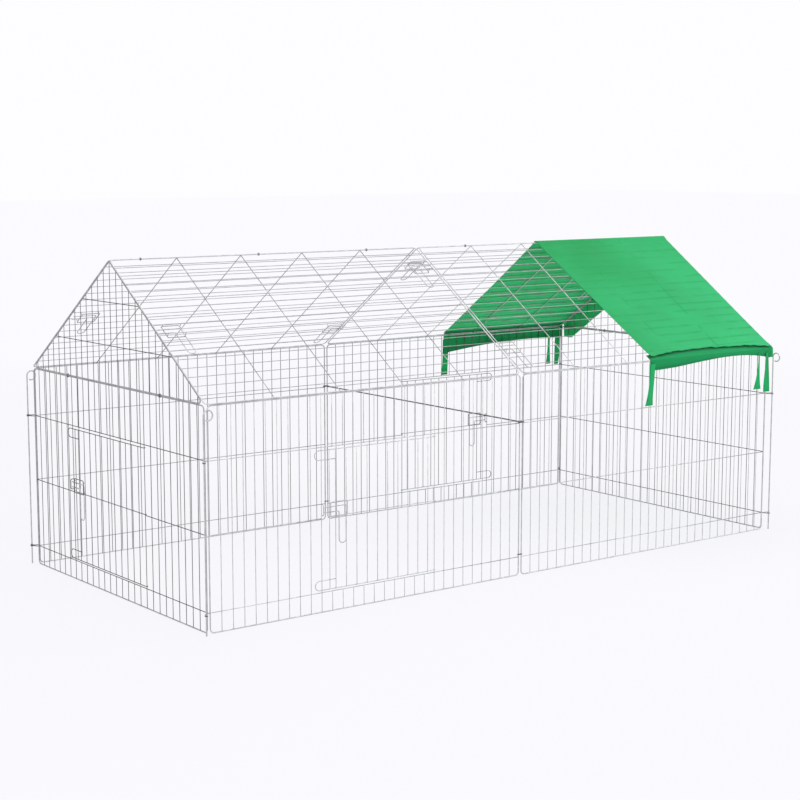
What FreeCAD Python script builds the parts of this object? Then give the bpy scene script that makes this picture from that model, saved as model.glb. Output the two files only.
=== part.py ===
import FreeCAD, Part
import math
import os
from types import SimpleNamespace

import Sketcher
from FreeCAD import Placement, Rotation, Vector

# Wire pet run with a hinged gable roof, three wall doors and a tied sunshade.
# Millimetres, X along the run, Y across it, Z up, origin on the ground under the middle.
# The front long wall faces -Y. Every wall panel is drawn with its outside facing its own -Y.

SIZES = {
    # overall
    "run_length": 2200.0,  # between the planes of the two end panels
    "run_width": 1030.0,  # between the planes of the two long walls
    "wall_height": 618.0,
    "roof_rise": 354.0,  # ridge wire above eave wire
    # wires, as diameters
    "frame_wire": 3.5,
    "rail_wire": 2.5,
    "grid_wire": 2.0,
    "rod_wire": 4.0,
    "tie_wire": 4.0,
    "bolt_wire": 3.0,
    "ring_wire": 2.0,
    "foot_wire": 1.8,  # feet of the bolt guides
    # fits
    "weld_depth": 0.25,  # how far welded wires sink into each other
    "loose_gap": 0.35,  # between a loop and the wire that runs in it
    "seat_gap": 0.3,  # between pieces that rest on each other
    "bend_slack": 0.01,  # straight length left between two bends that almost meet
    # wall panels
    "corner_gap": 6.0,  # from the corner to a panel's frame wire
    "joint_gap": 11.0,  # between the frame wires of two long panels that meet
    "frame_bend": 12.0,
    "side_gaps": 30,
    "end_gaps": 28,
    "lower_rail": 57.0,
    "middle_rail": 268.0,
    "upper_rail": 469.0,
    # corner rods
    "rod_out": 14.0,  # out of both wall planes
    "rod_top": 609.0,
    "rod_ring": 14.0,  # bend radius of the ring at the top
    "rod_ring_turn": 300.0,  # degrees
    "eye_turn": 270.0,  # degrees a panel's eye goes round its rod
    # doors
    "side_jamb": 10,  # wire numbers, counted from the panel's left edge
    "side_hinge": 21,
    "end_jamb": 7,
    "end_hinge": 19,
    "door_rail_step": 8.0,  # door rails inside the doorway's rails
    "door_middle_step": 4.0,
    "hinge_curl_turn": 225.0,  # degrees
    "ear_reach": 24.0,  # past the jamb wire
    "ear_height": 27.0,
    "door_edge": 24.0,  # from the jamb wire to the door's edge wire
    # slide bolts and their guides
    "guide_length": 57.0,
    "guide_height": 42.0,
    "guide_bend": 4.0,
    "guide_foot": 6.0,  # from the guide's end to its feet
    "prong_pitch": 15.0,
    "bolt_travel": 25.0,
    "bolt_stop": 1.25,  # free run left at each end of the travel
    "bolt_bend": 5.0,
    "handle_length": 92.0,
    "guide_lead": 22.0,  # from the drawn-back tip to the guide
    "tip_gap": 2.0,  # from the drawn-back tip to what it locks behind
    "gable_tip_gap": 7.75,  # the same at a gable, so that the shot tip stays inside the shade
    "keeper_height": 30.0,
    # clips at the middle joint
    "clip_rise": 8.0,  # above the lower rail
    # roof
    "roof_slope_gaps": 17,
    "roof_cross_gaps": 5,
    "cross_inset": 1.0,  # cross wires start this far from the middle of the ridge wire
    "ridge_ring_pitch": 400.0,
    "ridge_ring_count": 6,
    "gable_bolt_row": 8,  # slope gaps, counted from the ridge
    "left_bolt_row": 2,
    "right_bolt_row": 13,
    # gables
    "gable_bend": 8.0,
    "gable_lower_bar": 110.0,  # above the gable's base wire
    "gable_upper_bar": 234.0,
    "gable_ring_gap": 6,  # grid gaps, counted from each corner
    "gable_ring_count": 2,
    # sunshade
    "shade_left": 515.0,
    "shade_right": 1117.0,
    "cloth": 1.0,
    "shade_ridge_gap": 6.0,  # from the ridge wire to each half of the cloth
    "shade_overhang": 3.0,
    "flap_depth": 76.0,  # how far the end hangs over the gable
    "front_valance": 30.0,
    "back_valance": 60.0,
    "valance_arch": 16.0,  # how far the hem rises in its middle
    "valance_out": 4.7,
    "valance_inset": 7.0,  # from the right end, to pass the corner rod
    "strap_top": 15.0,
    "strap_width": 30.0,
    "strap_length": 135.0,
    "strap_drop": 10.0,  # from the valance's top edge
    "strap_left_inset": 6.0,
    "strap_right_inset": 12.0,
    "strap_step": 45.0,
}

size = SimpleNamespace(**SIZES)

# Sizes that follow from those above
size.half_length = size.run_length / 2
size.half_width = size.run_width / 2
size.panel_foot = size.frame_wire / 2
size.panel_top = size.wall_height - size.frame_wire / 2
size.grid_height = size.panel_top - size.panel_foot
size.side_width = size.half_length - size.joint_gap / 2 - size.corner_gap
size.end_width = size.run_width - 2 * size.corner_gap
size.side_pitch = size.side_width / size.side_gaps
size.end_pitch = size.end_width / size.end_gaps
size.weld_step = (size.grid_wire + size.rail_wire) / 2 - size.weld_depth
size.eye_radius = size.rod_wire / 2 + size.loose_gap + size.rail_wire / 2
size.eye_step = size.rail_wire / 2 + size.loose_gap
size.curl_radius = size.grid_wire / 2 + size.loose_gap + size.rail_wire / 2
size.door_out = size.curl_radius + size.weld_step
size.bolt_out = size.door_out + (size.grid_wire + size.bolt_wire) / 2 + size.loose_gap
size.guide_out = size.bolt_out + (size.bolt_wire + size.rail_wire) / 2 + size.loose_gap
size.door_bottom = size.lower_rail + size.door_rail_step
size.door_middle = size.middle_rail + size.door_middle_step
size.door_top = size.upper_rail - size.door_rail_step
size.door_height = size.door_top - size.door_bottom
size.bolt_height = size.door_middle + size.guide_height / 2
size.stop_step = (size.rail_wire + size.bolt_wire) / 2 + size.bolt_stop
size.handle_start = size.guide_lead + size.bolt_travel + size.stop_step
size.handle_width = size.guide_length - size.bolt_travel - 2 * size.stop_step
size.eave_height = size.panel_top + size.frame_wire + size.seat_gap
size.ridge_height = size.eave_height + size.roof_rise
size.ridge_half = (size.frame_wire + size.loose_gap) / 2
size.slope_run = size.half_width - size.ridge_half
size.slope_length = math.hypot(size.slope_run, size.roof_rise)
size.slope_angle = math.degrees(math.atan2(size.roof_rise, size.slope_run))
size.slope_pitch = size.slope_length / size.roof_slope_gaps
size.roof_width = size.half_length - size.joint_gap / 2
size.cross_pitch = size.roof_width / size.roof_cross_gaps
size.rake_drop = size.frame_wire + size.seat_gap
size.roof_bolt_drop = (
    size.rake_drop + (size.frame_wire + size.bolt_wire) / 2 + size.loose_gap
)
size.roof_guide_drop = (
    size.roof_bolt_drop + (size.bolt_wire + size.rail_wire) / 2 + size.loose_gap
)
size.gable_pitch = size.run_width / size.end_gaps
size.ring_radius = size.frame_wire / 2 + size.loose_gap + size.ring_wire / 2
size.tie_radius = size.frame_wire / 2 + size.loose_gap + size.tie_wire / 2
size.tie_height = size.upper_rail + (size.rail_wire + size.tie_wire) / 2 + size.seat_gap
size.cut_depth = 4 * size.frame_wire
size.shade_length = size.shade_right - size.shade_left
size.valance_length = size.shade_length - size.valance_inset
size.shade_drop = size.slope_length + size.shade_overhang
size.cloth_lift = size.frame_wire / 2 + size.seat_gap

doc = FreeCAD.newDocument("pet_run")
dim = doc.addObject("Spreadsheet::Sheet", "dim")
for row, (name, value) in enumerate(vars(size).items(), start=1):
    dim.set(f"A{row}", name)
    dim.set(f"B{row}", repr(value))
    dim.setAlias(f"B{row}", name)
doc.recompute()

parts = []


def keep(thing, label, place=Placement()):
    """Name a finished sub-part, place it and list it for export."""
    thing.Label = label
    thing.Placement = place
    parts.append(thing)
    return thing


def turned(x, y, degrees, z=0.0):
    """A place on the plan, turned about the vertical."""
    return Placement(Vector(x, y, z), Rotation(Vector(0, 0, 1), degrees))


def new_sketch(body, name, role, at):
    """An empty sketch on one of the body's origin planes, moved in that plane's own axes."""
    plane = next(item for item in body.Origin.OriginFeatures if item.Role == role)
    sketch = body.newObject("Sketcher::SketchObject", name)
    sketch.AttachmentSupport = [(plane, "")]
    sketch.MapMode = "FlatFace"
    for axis, expression in zip("xyz", at):
        sketch.setExpression(f"AttachmentOffset.Base.{axis}", expression)
    return sketch


def add_round(sketch, wire):
    """A wire's round section about the sketch's own origin."""
    circle = sketch.addGeometry(Part.Circle(Vector(), Vector(0, 0, 1), 1.0))
    sketch.addConstraint(Sketcher.Constraint("Coincident", circle, 3, -1, 1))
    radius = sketch.addConstraint(Sketcher.Constraint("Radius", circle, 1.0))
    sketch.setExpression(f"Constraints[{radius}]", f"dim.{wire} / 2")


def straight_wire(body, name, role, at, wire, length):
    """A straight wire that starts at a plane and runs along the plane's normal."""
    section = new_sketch(body, f"{name}_section", role, at)
    add_round(section, wire)
    pad = body.newObject("PartDesign::Pad", name)
    pad.Profile = section
    pad.setExpression("Length", length)
    pad.Refine = False
    return pad


def row_of(body, pad, axis, count, length):
    """Repeat a straight wire evenly along an axis of its section sketch."""
    pattern = body.newObject("PartDesign::LinearPattern", f"{pad.Name}_row")
    pattern.Originals = [pad]
    pattern.Direction = (pad.Profile[0], [axis])
    pattern.setExpression("Occurrences", count)
    pattern.setExpression("Length", length)
    pattern.Refine = False
    body.Tip = pattern
    return pattern


def rounded(points, bends, closed):
    """Lines through flat points, with an arc of the given radius at each bend."""
    count = len(points)
    corners = [Vector(x, y, 0) for x, y in points]
    starts, ends, arcs = list(corners), list(corners), {}
    for n in range(count) if closed else range(1, count - 1):
        before = (corners[n - 1] - corners[n]).normalize()
        after = (corners[(n + 1) % count] - corners[n]).normalize()
        half = before.getAngle(after) / 2
        reach = bends[n] / math.tan(half)
        middle = (before + after).normalize() * (bends[n] / math.sin(half) - bends[n])
        ends[n] = corners[n] + before * reach
        starts[n] = corners[n] + after * reach
        arcs[n] = Part.Arc(ends[n], corners[n] + middle, starts[n])
    path = []
    for n in range(count if closed else count - 1):
        other = (n + 1) % count
        if (ends[other] - starts[n]).Length > 1e-6:
            path.append(Part.LineSegment(starts[n], ends[other]))
        if other in arcs:
            path.append(arcs[other])
    return path


def bent_wire(body, name, role, at, path, wire):
    """A bent wire: a round section swept along lines and arcs drawn on a plane."""
    route = new_sketch(body, f"{name}_route", role, at)
    route.addGeometry(path, False)
    route.recompute()
    section = body.newObject("Sketcher::SketchObject", f"{name}_section")
    section.AttachmentSupport = [(route, "Edge1")]
    section.MapMode = "NormalToEdge"
    add_round(section, wire)
    pipe = body.newObject("PartDesign::AdditivePipe", name)
    pipe.Profile = section
    pipe.Spine = (route, [])
    pipe.Refine = False
    return pipe


def rectangle(left, low, right, high, bend):
    """A closed rounded rectangle."""
    points = [(left, low), (right, low), (right, high), (left, high)]
    return rounded(points, [bend] * 4, True)


def link(reach, radius, upright):
    """A closed oval round two wires that stand the given distance apart."""
    half = reach / 2
    ends = [Vector(-half, 0, 0), Vector(half, 0, 0)]
    side = Vector(0, radius, 0)
    if upright:
        ends = [Vector(0, -half, 0), Vector(0, half, 0)]
        side = Vector(-radius, 0, 0)
    over = (ends[1] - ends[0]).normalize() * radius
    return [
        Part.LineSegment(ends[0] - side, ends[1] - side),
        Part.Arc(ends[1] - side, ends[1] + over, ends[1] + side),
        Part.LineSegment(ends[1] + side, ends[0] + side),
        Part.Arc(ends[0] + side, ends[0] - over, ends[0] - side),
    ]


def arc_about(centre, radius, first, turn):
    """An arc from one angle, in degrees, through a turn that may be negative."""
    points = []
    for share in (0.0, 0.5, 1.0):
        angle = math.radians(first + turn * share)
        points.append(centre + Vector(math.cos(angle), math.sin(angle), 0) * radius)
    return Part.Arc(*points)


def new_body(label):
    return doc.addObject("PartDesign::Body", label)


def copy_of(source, label):
    """Another body of the same shape, to be placed elsewhere."""
    body = new_body(label)
    base = doc.addObject("PartDesign::FeatureBase", f"{label}_base")
    base.BaseFeature = source
    body.Group = [base]
    body.Tip = base
    return body


# Wall panels


def corner_eye(body, name, edge, side, rise):
    """A wire eye that reaches from a panel's edge wire round a corner rod, at both rails."""
    outward = size.corner_gap + size.rod_out
    centre = Vector(edge + side * outward, -size.rod_out, 0)
    start = Vector(edge, 0, 0)
    span = math.hypot(outward, size.rod_out)
    toward = math.degrees(math.atan2(size.rod_out, -side * outward))
    swing = math.degrees(math.acos(size.eye_radius / span))
    touch = toward - side * swing
    # from the arm's weld on the edge wire, round the rod
    curl = arc_about(centre, size.eye_radius, touch, -side * size.eye_turn)
    path = [Part.LineSegment(start, curl.toShape().Vertexes[0].Point), curl]
    for level in ("lower_rail", "upper_rail"):
        height = f"dim.{level} {rise} dim.eye_step"
        bent_wire(body, f"{name}_{level}", "XY_Plane", ("0", "0", height), path, "rail_wire")


def wall_panel(label, left, width, gaps, pitch, eyes, rise, door=None):
    """A welded panel: frame wire, three rails inside, upright wires and corner eyes."""
    body = new_body(label)
    right = left + getattr(size, width)
    outline = rectangle(left, size.panel_foot, right, size.panel_top, size.frame_bend)
    bent_wire(body, f"{label}_frame", "XZ_Plane", ("0", "0", "0"), outline, "frame_wire")
    for level in ("lower_rail", "middle_rail", "upper_rail"):
        at = ("dim.weld_step", f"dim.{level}", f"{left}")
        straight_wire(body, f"{label}_{level}", "YZ_Plane", at, "rail_wire", f"dim.{width}")
    for side in eyes:
        edge = left if side < 0 else right
        end = "left" if side < 0 else "right"
        corner_eye(body, f"{label}_{end}_eye", edge, side, rise)
    if door:
        keeper(body, label, left + door[0] * getattr(size, pitch))
    first = (f"{left} + dim.{pitch}", "0", "dim.panel_foot")
    upright = straight_wire(
        body, f"{label}_upright", "XY_Plane", first, "grid_wire", "dim.grid_height"
    )
    row_of(body, upright, "H_Axis", f"dim.{gaps} - 1", f"(dim.{gaps} - 2) * dim.{pitch}")
    if door:
        doorway(body, label, left, pitch, *door)
    return body


def keeper(body, label, jamb):
    """A staple on the jamb wire that the door's bolt slides into."""
    half = size.keeper_height / 2
    reach = -size.guide_out
    points = [(0.0, -half), (reach, -half), (reach, half), (0.0, half)]
    path = rounded(points, [size.guide_bend] * 4, False)
    at = ("0", "dim.bolt_height", f"{jamb}")
    bent_wire(body, f"{label}_keeper", "YZ_Plane", at, path, "rail_wire")


def doorway(body, label, left, pitch, jamb, hinge):
    """Clear the wires between the jamb wire, the hinge wire and the two rails."""
    edge = size.grid_wire
    near = left + jamb * getattr(size, pitch) + edge
    far = left + hinge * getattr(size, pitch) - edge
    cut = new_sketch(body, f"{label}_doorway", "XZ_Plane", ("0", "0", "0"))
    corners = [
        Vector(near, size.lower_rail, 0),
        Vector(far, size.lower_rail, 0),
        Vector(far, size.upper_rail, 0),
        Vector(near, size.upper_rail, 0),
    ]
    sides = [Part.LineSegment(corners[n - 1], corners[n]) for n in range(4)]
    cut.addGeometry(sides, False)
    pocket = body.newObject("PartDesign::Pocket", f"{label}_doorway_cut")
    pocket.Profile = cut
    pocket.Midplane = True
    pocket.setExpression("Length", "dim.cut_depth")
    pocket.Refine = False


side_door = (size.side_jamb, size.side_hinge)
end_door = (size.end_jamb, size.end_hinge)
door_side = wall_panel(
    "front_left_panel", size.corner_gap, "side_width", "side_gaps", "side_pitch", [-1], "+", side_door
)
plain_side = wall_panel(
    "front_right_panel", size.joint_gap / 2, "side_width", "side_gaps", "side_pitch", [1], "+"
)
door_end = wall_panel(
    "left_end_panel", size.corner_gap, "end_width", "end_gaps", "end_pitch", [-1, 1], "-", end_door
)
plain_end = wall_panel(
    "right_end_panel", size.corner_gap, "end_width", "end_gaps", "end_pitch", [-1, 1], "-"
)
doc.recompute()

FRONT_LEFT = turned(-size.half_length, -size.half_width, 0)
BACK_RIGHT = turned(size.half_length, size.half_width, 180)
FRONT_MIDDLE = turned(0, -size.half_width, 0)
BACK_MIDDLE = turned(0, size.half_width, 180)
LEFT_END = turned(-size.half_length, size.half_width, -90)
RIGHT_END = turned(size.half_length, -size.half_width, 90)

back_right = copy_of(door_side, "back_right_panel")
back_left = copy_of(plain_side, "back_left_panel")
doc.recompute()
keep(door_side, "front_left_panel", FRONT_LEFT)
keep(plain_side, "front_right_panel", FRONT_MIDDLE)
keep(back_right, "back_right_panel", BACK_RIGHT)
keep(back_left, "back_left_panel", BACK_MIDDLE)
keep(door_end, "left_end_panel", LEFT_END)
keep(plain_end, "right_end_panel", RIGHT_END)


# Corner rods


def corner_rod(label, place):
    """A straight rod with a finger ring bent at its top."""
    body = new_body(label)
    shank = size.rod_top - size.rod_wire / 2 - size.rod_ring
    centre = Vector(size.rod_ring, shank, 0)
    path = [
        Part.LineSegment(Vector(), Vector(0, shank, 0)),
        arc_about(centre, size.rod_ring, 180.0, -size.rod_ring_turn),
    ]
    bent_wire(body, f"{label}_wire", "XZ_Plane", ("0", "0", "0"), path, "rod_wire")
    keep(body, label, place)


rod_x = size.half_length + size.rod_out
rod_y = size.half_width + size.rod_out
corner_rod("front_left_rod", turned(-rod_x, -rod_y, 0))
corner_rod("front_right_rod", turned(rod_x, -rod_y, -90))
corner_rod("back_left_rod", turned(-rod_x, rod_y, 0))
corner_rod("back_right_rod", turned(rod_x, rod_y, 90))


# Tie bar and the clips at the middle joint


def tie_bar():
    """A bar across the run, whose eyes round the panels' edge wires rest on the upper rails."""
    body = new_body("tie_bar")
    reach = size.half_width - size.tie_radius
    at = ("0", "0", f"{-reach}")
    straight_wire(body, "tie_bar_shaft", "XZ_Plane", at, "tie_wire", f"{2 * reach}")
    eye = link(size.joint_gap, size.tie_radius, False)
    for end, sign in (("front", "-"), ("back", "")):
        at = ("0", f"{sign}dim.half_width", "0")
        bent_wire(body, f"tie_bar_{end}_eye", "XY_Plane", at, eye, "tie_wire")
    keep(body, "tie_bar", turned(0, 0, 0, size.tie_height))


def joint_clip(label, side):
    """A closed clip round the edge wires of two long panels."""
    body = new_body(label)
    path = link(size.joint_gap, size.ring_radius, False)
    bent_wire(body, f"{label}_wire", "XY_Plane", ("0", "0", "0"), path, "ring_wire")
    height = size.lower_rail + size.clip_rise
    keep(body, label, turned(0, side * size.half_width, 0, height))


tie_bar()
joint_clip("front_joint_clip", -1)
joint_clip("back_joint_clip", 1)


# Slide bolts and their guides


def bolt(label, place):
    """One bent wire: two prongs that point along +X and a hanging handle."""
    body = new_body(label)
    half = size.prong_pitch / 2
    near = -size.handle_start
    far = near - size.handle_width
    low = -half - size.handle_length
    points = [(0, -half), (near, -half), (near, low), (far, low), (far, half), (0, half)]
    turn = size.handle_width / 2 - size.bend_slack
    bends = [0, size.bolt_bend, turn, turn, size.bolt_bend, 0]
    path = rounded(points, bends, False)
    bent_wire(body, f"{label}_wire", "XY_Plane", ("0", "0", "0"), path, "bolt_wire")
    keep(body, label, place)


def guide(body, name, plane, at, left, middle, height, foot_start, foot_length):
    """A rectangle of wire that holds a bolt's prongs against the grid, on four feet."""
    half = height / 2
    right = left + size.guide_length
    path = rectangle(left, middle - half, right, middle + half, size.guide_bend)
    bent_wire(body, f"{name}_loop", plane, ("0", "0", at), path, "rail_wire")
    for n, x in enumerate((left, right)):
        for m, end in enumerate((-1, 1)):
            y = middle + end * (half - size.guide_foot)
            foot_at = (f"{x}", f"{y}", foot_start)
            straight_wire(body, f"{name}_foot_{n}{m}", plane, foot_at, "foot_wire", foot_length)


# Doors


def door(label, left, pitch, jamb, hinge):
    """A welded door: rails that curl round the hinge wire, ears past the jamb, a bolt guide."""
    body = new_body(label)
    step = getattr(size, pitch)
    jamb_x = left + jamb * step
    hinge_x = left + hinge * step
    tip = jamb_x - size.ear_reach
    ear = size.ear_height / 2
    edge = jamb_x + size.door_edge
    second = edge + size.guide_length - step
    rail_out = -size.curl_radius
    curl = arc_about(Vector(hinge_x, 0, 0), size.curl_radius, -90.0, size.hinge_curl_turn)
    for level, start in (("bottom", tip + ear), ("middle", edge), ("top", tip + ear)):
        line = Part.LineSegment(Vector(start, rail_out, 0), Vector(hinge_x, rail_out, 0))
        at = ("0", "0", f"dim.door_{level}")
        bent_wire(body, f"{label}_{level}_rail", "XY_Plane", at, [line, curl], "rail_wire")
    for level, up in (("bottom", 1), ("top", -1)):
        centre = Vector(tip + ear, up * ear, 0)
        turn = arc_about(centre, ear, -90.0 * up, -180.0 * up)
        back = Part.LineSegment(Vector(tip + ear, 2 * up * ear, 0), Vector(second, 2 * up * ear, 0))
        at = ("0", f"dim.door_{level}", "dim.curl_radius")
        bent_wire(body, f"{label}_{level}_ear", "XZ_Plane", at, [turn, back], "rail_wire")
    at = (f"{edge}", "-dim.door_out", "dim.door_bottom")
    straight_wire(body, f"{label}_edge", "XY_Plane", at, "grid_wire", "dim.door_height")
    at = (f"{second}", "-dim.door_out", "dim.door_bottom")
    upright = straight_wire(
        body, f"{label}_upright", "XY_Plane", at, "grid_wire", "dim.door_height"
    )
    count = hinge - jamb - 1
    row_of(body, upright, "H_Axis", f"{count}", f"{count - 1} * dim.{pitch}")
    feet = size.guide_out - size.door_out
    guide(
        body,
        f"{label}_guide",
        "XZ_Plane",
        "dim.guide_out",
        edge,
        size.bolt_height,
        size.guide_height,
        "dim.door_out",
        f"{feet}",
    )
    return body


def door_bolt(label, panel_place, left, pitch, jamb):
    """A door's bolt, drawn back so that its tips stop short of the keeper."""
    tip = left + jamb * pitch + size.rail_wire / 2 + size.tip_gap
    place = Placement(Vector(tip, -size.bolt_out, size.bolt_height), Rotation())
    # prongs point to the panel's -X, handle hangs down
    place.Rotation = Rotation(Vector(-1, 0, 0), Vector(0, 0, 1), Vector(0, 1, 0), "XYZ")
    bolt(label, panel_place * place)


front_door = door("front_door", size.corner_gap, "side_pitch", *side_door)
left_door = door("left_door", size.corner_gap, "end_pitch", *end_door)
doc.recompute()
back_door = copy_of(front_door, "back_door")
doc.recompute()
keep(front_door, "front_door", FRONT_LEFT)
keep(back_door, "back_door", BACK_RIGHT)
keep(left_door, "left_door", LEFT_END)
door_bolt("front_door_bolt", FRONT_LEFT, size.corner_gap, size.side_pitch, size.side_jamb)
door_bolt("back_door_bolt", BACK_RIGHT, size.corner_gap, size.side_pitch, size.side_jamb)
door_bolt("left_door_bolt", LEFT_END, size.corner_gap, size.end_pitch, size.end_jamb)


# Roof panels: X along the ridge, Y up the slope to the ridge wire, Z outward


def roof_panel(label, side, joint_row):
    """A welded roof panel on one side of the middle, with guides for its two bolts."""
    body = new_body(label)
    inner = side * size.joint_gap / 2
    outer = side * size.half_length
    left, right = min(inner, outer), max(inner, outer)
    outline = rectangle(left, -size.slope_length, right, 0.0, size.frame_bend)
    bent_wire(body, f"{label}_frame", "XY_Plane", ("0", "0", "0"), outline, "frame_wire")
    at = (f"{left} + dim.cross_pitch", "-dim.weld_step", "dim.cross_inset")
    cross = straight_wire(
        body, f"{label}_cross", "XZ_Plane", at, "rail_wire", "dim.slope_length - dim.cross_inset"
    )
    row_of(
        body,
        cross,
        "H_Axis",
        "dim.roof_cross_gaps - 1",
        "(dim.roof_cross_gaps - 2) * dim.cross_pitch",
    )
    at = ("-dim.slope_pitch", "0", f"{left}")
    long_wire = straight_wire(
        body, f"{label}_long", "YZ_Plane", at, "grid_wire", "dim.roof_width"
    )
    pattern = row_of(
        body,
        long_wire,
        "H_Axis",
        "dim.roof_slope_gaps - 1",
        "(dim.roof_slope_gaps - 2) * dim.slope_pitch",
    )
    pattern.Reversed = True
    for name, tip, toward, row in roof_bolt_sites(side, joint_row):
        near = tip - toward * size.guide_lead
        start = near - size.guide_length if toward > 0 else near
        middle = -(row + 0.5) * size.slope_pitch
        height = size.slope_pitch + 2 * size.guide_foot
        guide(
            body,
            f"{label}_{name}_guide",
            "XY_Plane",
            "-dim.roof_guide_drop",
            start,
            middle,
            height,
            "-dim.roof_guide_drop",
            "dim.roof_guide_drop",
        )
    return body


def roof_bolt_sites(side, joint_row):
    """Where a roof panel's two bolts stand: name, drawn-back tip, the way they point, row."""
    gable_tip = side * (size.half_length - size.frame_wire / 2 - size.gable_tip_gap)
    joint_tip = -side * (size.joint_gap / 2 - size.frame_wire / 2 - size.tip_gap)
    return [
        ("gable", gable_tip, side, size.gable_bolt_row),
        ("joint", joint_tip, -side, joint_row),
    ]


def roof_bolts(prefix, panel_place, side, joint_row):
    """The two bolts of a roof panel, under its wires."""
    for name, tip, toward, row in roof_bolt_sites(side, joint_row):
        spot = Vector(tip, -(row + 0.5) * size.slope_pitch, -size.roof_bolt_drop)
        turn = Rotation(Vector(1, 0, 0), 0)
        if toward < 0:
            turn = Rotation(Vector(0, 1, 0), 180)
        bolt(f"{prefix}_{name}_bolt", panel_place * Placement(spot, turn))


slope = Rotation(Vector(1, 0, 0), size.slope_angle)
FRONT_ROOF = Placement(Vector(0, -size.ridge_half, size.ridge_height), slope)
BACK_ROOF = turned(0, 0, 180) * FRONT_ROOF

right_roof = roof_panel("front_right_roof", 1, size.right_bolt_row)
left_roof = roof_panel("front_left_roof", -1, size.left_bolt_row)
doc.recompute()
back_left_roof = copy_of(right_roof, "back_left_roof")
back_right_roof = copy_of(left_roof, "back_right_roof")
doc.recompute()
keep(right_roof, "front_right_roof", FRONT_ROOF)
keep(left_roof, "front_left_roof", FRONT_ROOF)
keep(back_left_roof, "back_left_roof", BACK_ROOF)
keep(back_right_roof, "back_right_roof", BACK_ROOF)
roof_bolts("front_right", FRONT_ROOF, 1, size.right_bolt_row)
roof_bolts("front_left", FRONT_ROOF, -1, size.left_bolt_row)
roof_bolts("back_left", BACK_ROOF, 1, size.right_bolt_row)
roof_bolts("back_right", BACK_ROOF, -1, size.left_bolt_row)


def ridge_rings():
    """Closed rings that hold the front and back ridge wires side by side."""
    body = new_body("ridge_rings")
    reach = (size.ridge_ring_count - 1) * size.ridge_ring_pitch
    path = link(2 * size.ridge_half, size.ring_radius, False)
    at = ("0", "dim.ridge_height", f"{-reach / 2}")
    ring = bent_wire(body, "ridge_ring", "YZ_Plane", at, path, "ring_wire")
    rings = body.newObject("PartDesign::LinearPattern", "ridge_ring_row")
    rings.Originals = [ring]
    axis = next(item for item in body.Origin.OriginFeatures if item.Role == "X_Axis")
    rings.Direction = (axis, [""])
    rings.setExpression("Occurrences", "dim.ridge_ring_count")
    rings.setExpression("Length", "(dim.ridge_ring_count - 1) * dim.ridge_ring_pitch")
    rings.Refine = False
    body.Tip = rings
    keep(body, "ridge_rings")


ridge_rings()


# Gables: X across the run from one corner, Z up from the base wire


def gable(label):
    """A welded triangle that stands on an end panel and carries the roof's end wires."""
    body = new_body(label)
    rise = size.roof_rise / size.slope_run
    lift = size.rake_drop / math.cos(math.radians(size.slope_angle))
    foot = lift / rise
    top = (size.half_width - foot) * rise
    middle = size.half_width
    at = ("dim.gable_pitch", "0", "0")
    upright = straight_wire(
        body, f"{label}_upright", "XY_Plane", at, "grid_wire", "dim.roof_rise"
    )
    row_of(
        body,
        upright,
        "H_Axis",
        "dim.end_gaps - 1",
        "(dim.end_gaps - 2) * dim.gable_pitch",
    )
    for level in ("lower", "upper"):
        at = ("dim.weld_step", f"dim.gable_{level}_bar", "0")
        straight_wire(
            body, f"{label}_{level}_bar", "YZ_Plane", at, "rail_wire", "dim.run_width"
        )
    # trim both rakes along the middle of the frame wire
    rakes = new_sketch(body, f"{label}_rakes", "XZ_Plane", ("0", "0", "0"))
    above = size.roof_rise + size.frame_wire
    outline = [
        Vector(foot, 0, 0),
        Vector(middle, top, 0),
        Vector(size.run_width - foot, 0, 0),
        Vector(size.run_width + size.frame_wire, 0, 0),
        Vector(size.run_width + size.frame_wire, above, 0),
        Vector(-size.frame_wire, above, 0),
        Vector(-size.frame_wire, 0, 0),
    ]
    sides = [Part.LineSegment(outline[n - 1], outline[n]) for n in range(len(outline))]
    rakes.addGeometry(sides, False)
    trim = body.newObject("PartDesign::Pocket", f"{label}_trim")
    trim.Profile = rakes
    trim.Midplane = True
    trim.setExpression("Length", "dim.cut_depth")
    trim.Refine = False
    points = [(size.run_width - foot, 0.0), (middle, top), (foot, 0.0)]
    frame = rounded(points, [size.gable_bend] * len(points), True)
    bent_wire(body, f"{label}_frame", "XZ_Plane", ("0", "0", "0"), frame, "frame_wire")
    return body


def gable_rings(label, place):
    """Two closed rings round a gable's base wire and the end panel's top wire."""
    body = new_body(label)
    path = link(size.rake_drop, size.ring_radius, True)
    start = (size.gable_ring_gap + 0.5) * size.gable_pitch
    span = size.run_width - 2 * start
    at = ("0", f"{-size.rake_drop / 2}", f"{start}")
    ring = bent_wire(body, f"{label}_ring", "YZ_Plane", at, path, "ring_wire")
    rings = body.newObject("PartDesign::LinearPattern", f"{label}_pair")
    rings.Originals = [ring]
    axis = next(item for item in body.Origin.OriginFeatures if item.Role == "X_Axis")
    rings.Direction = (axis, [""])
    rings.setExpression("Occurrences", "dim.gable_ring_count")
    rings.setExpression("Length", f"{span}")
    rings.Refine = False
    body.Tip = rings
    keep(body, label, place)


lift_to_eave = Placement(Vector(0, 0, size.eave_height), Rotation())
left_gable = gable("left_gable")
doc.recompute()
right_gable = copy_of(left_gable, "right_gable")
doc.recompute()
keep(left_gable, "left_gable", LEFT_END * lift_to_eave)
keep(right_gable, "right_gable", RIGHT_END * lift_to_eave)
gable_rings("left_gable_rings", LEFT_END * lift_to_eave)
gable_rings("right_gable_rings", RIGHT_END * lift_to_eave)


# Sunshade: cloth over the right-hand roof panels, with valances and tie straps


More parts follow.
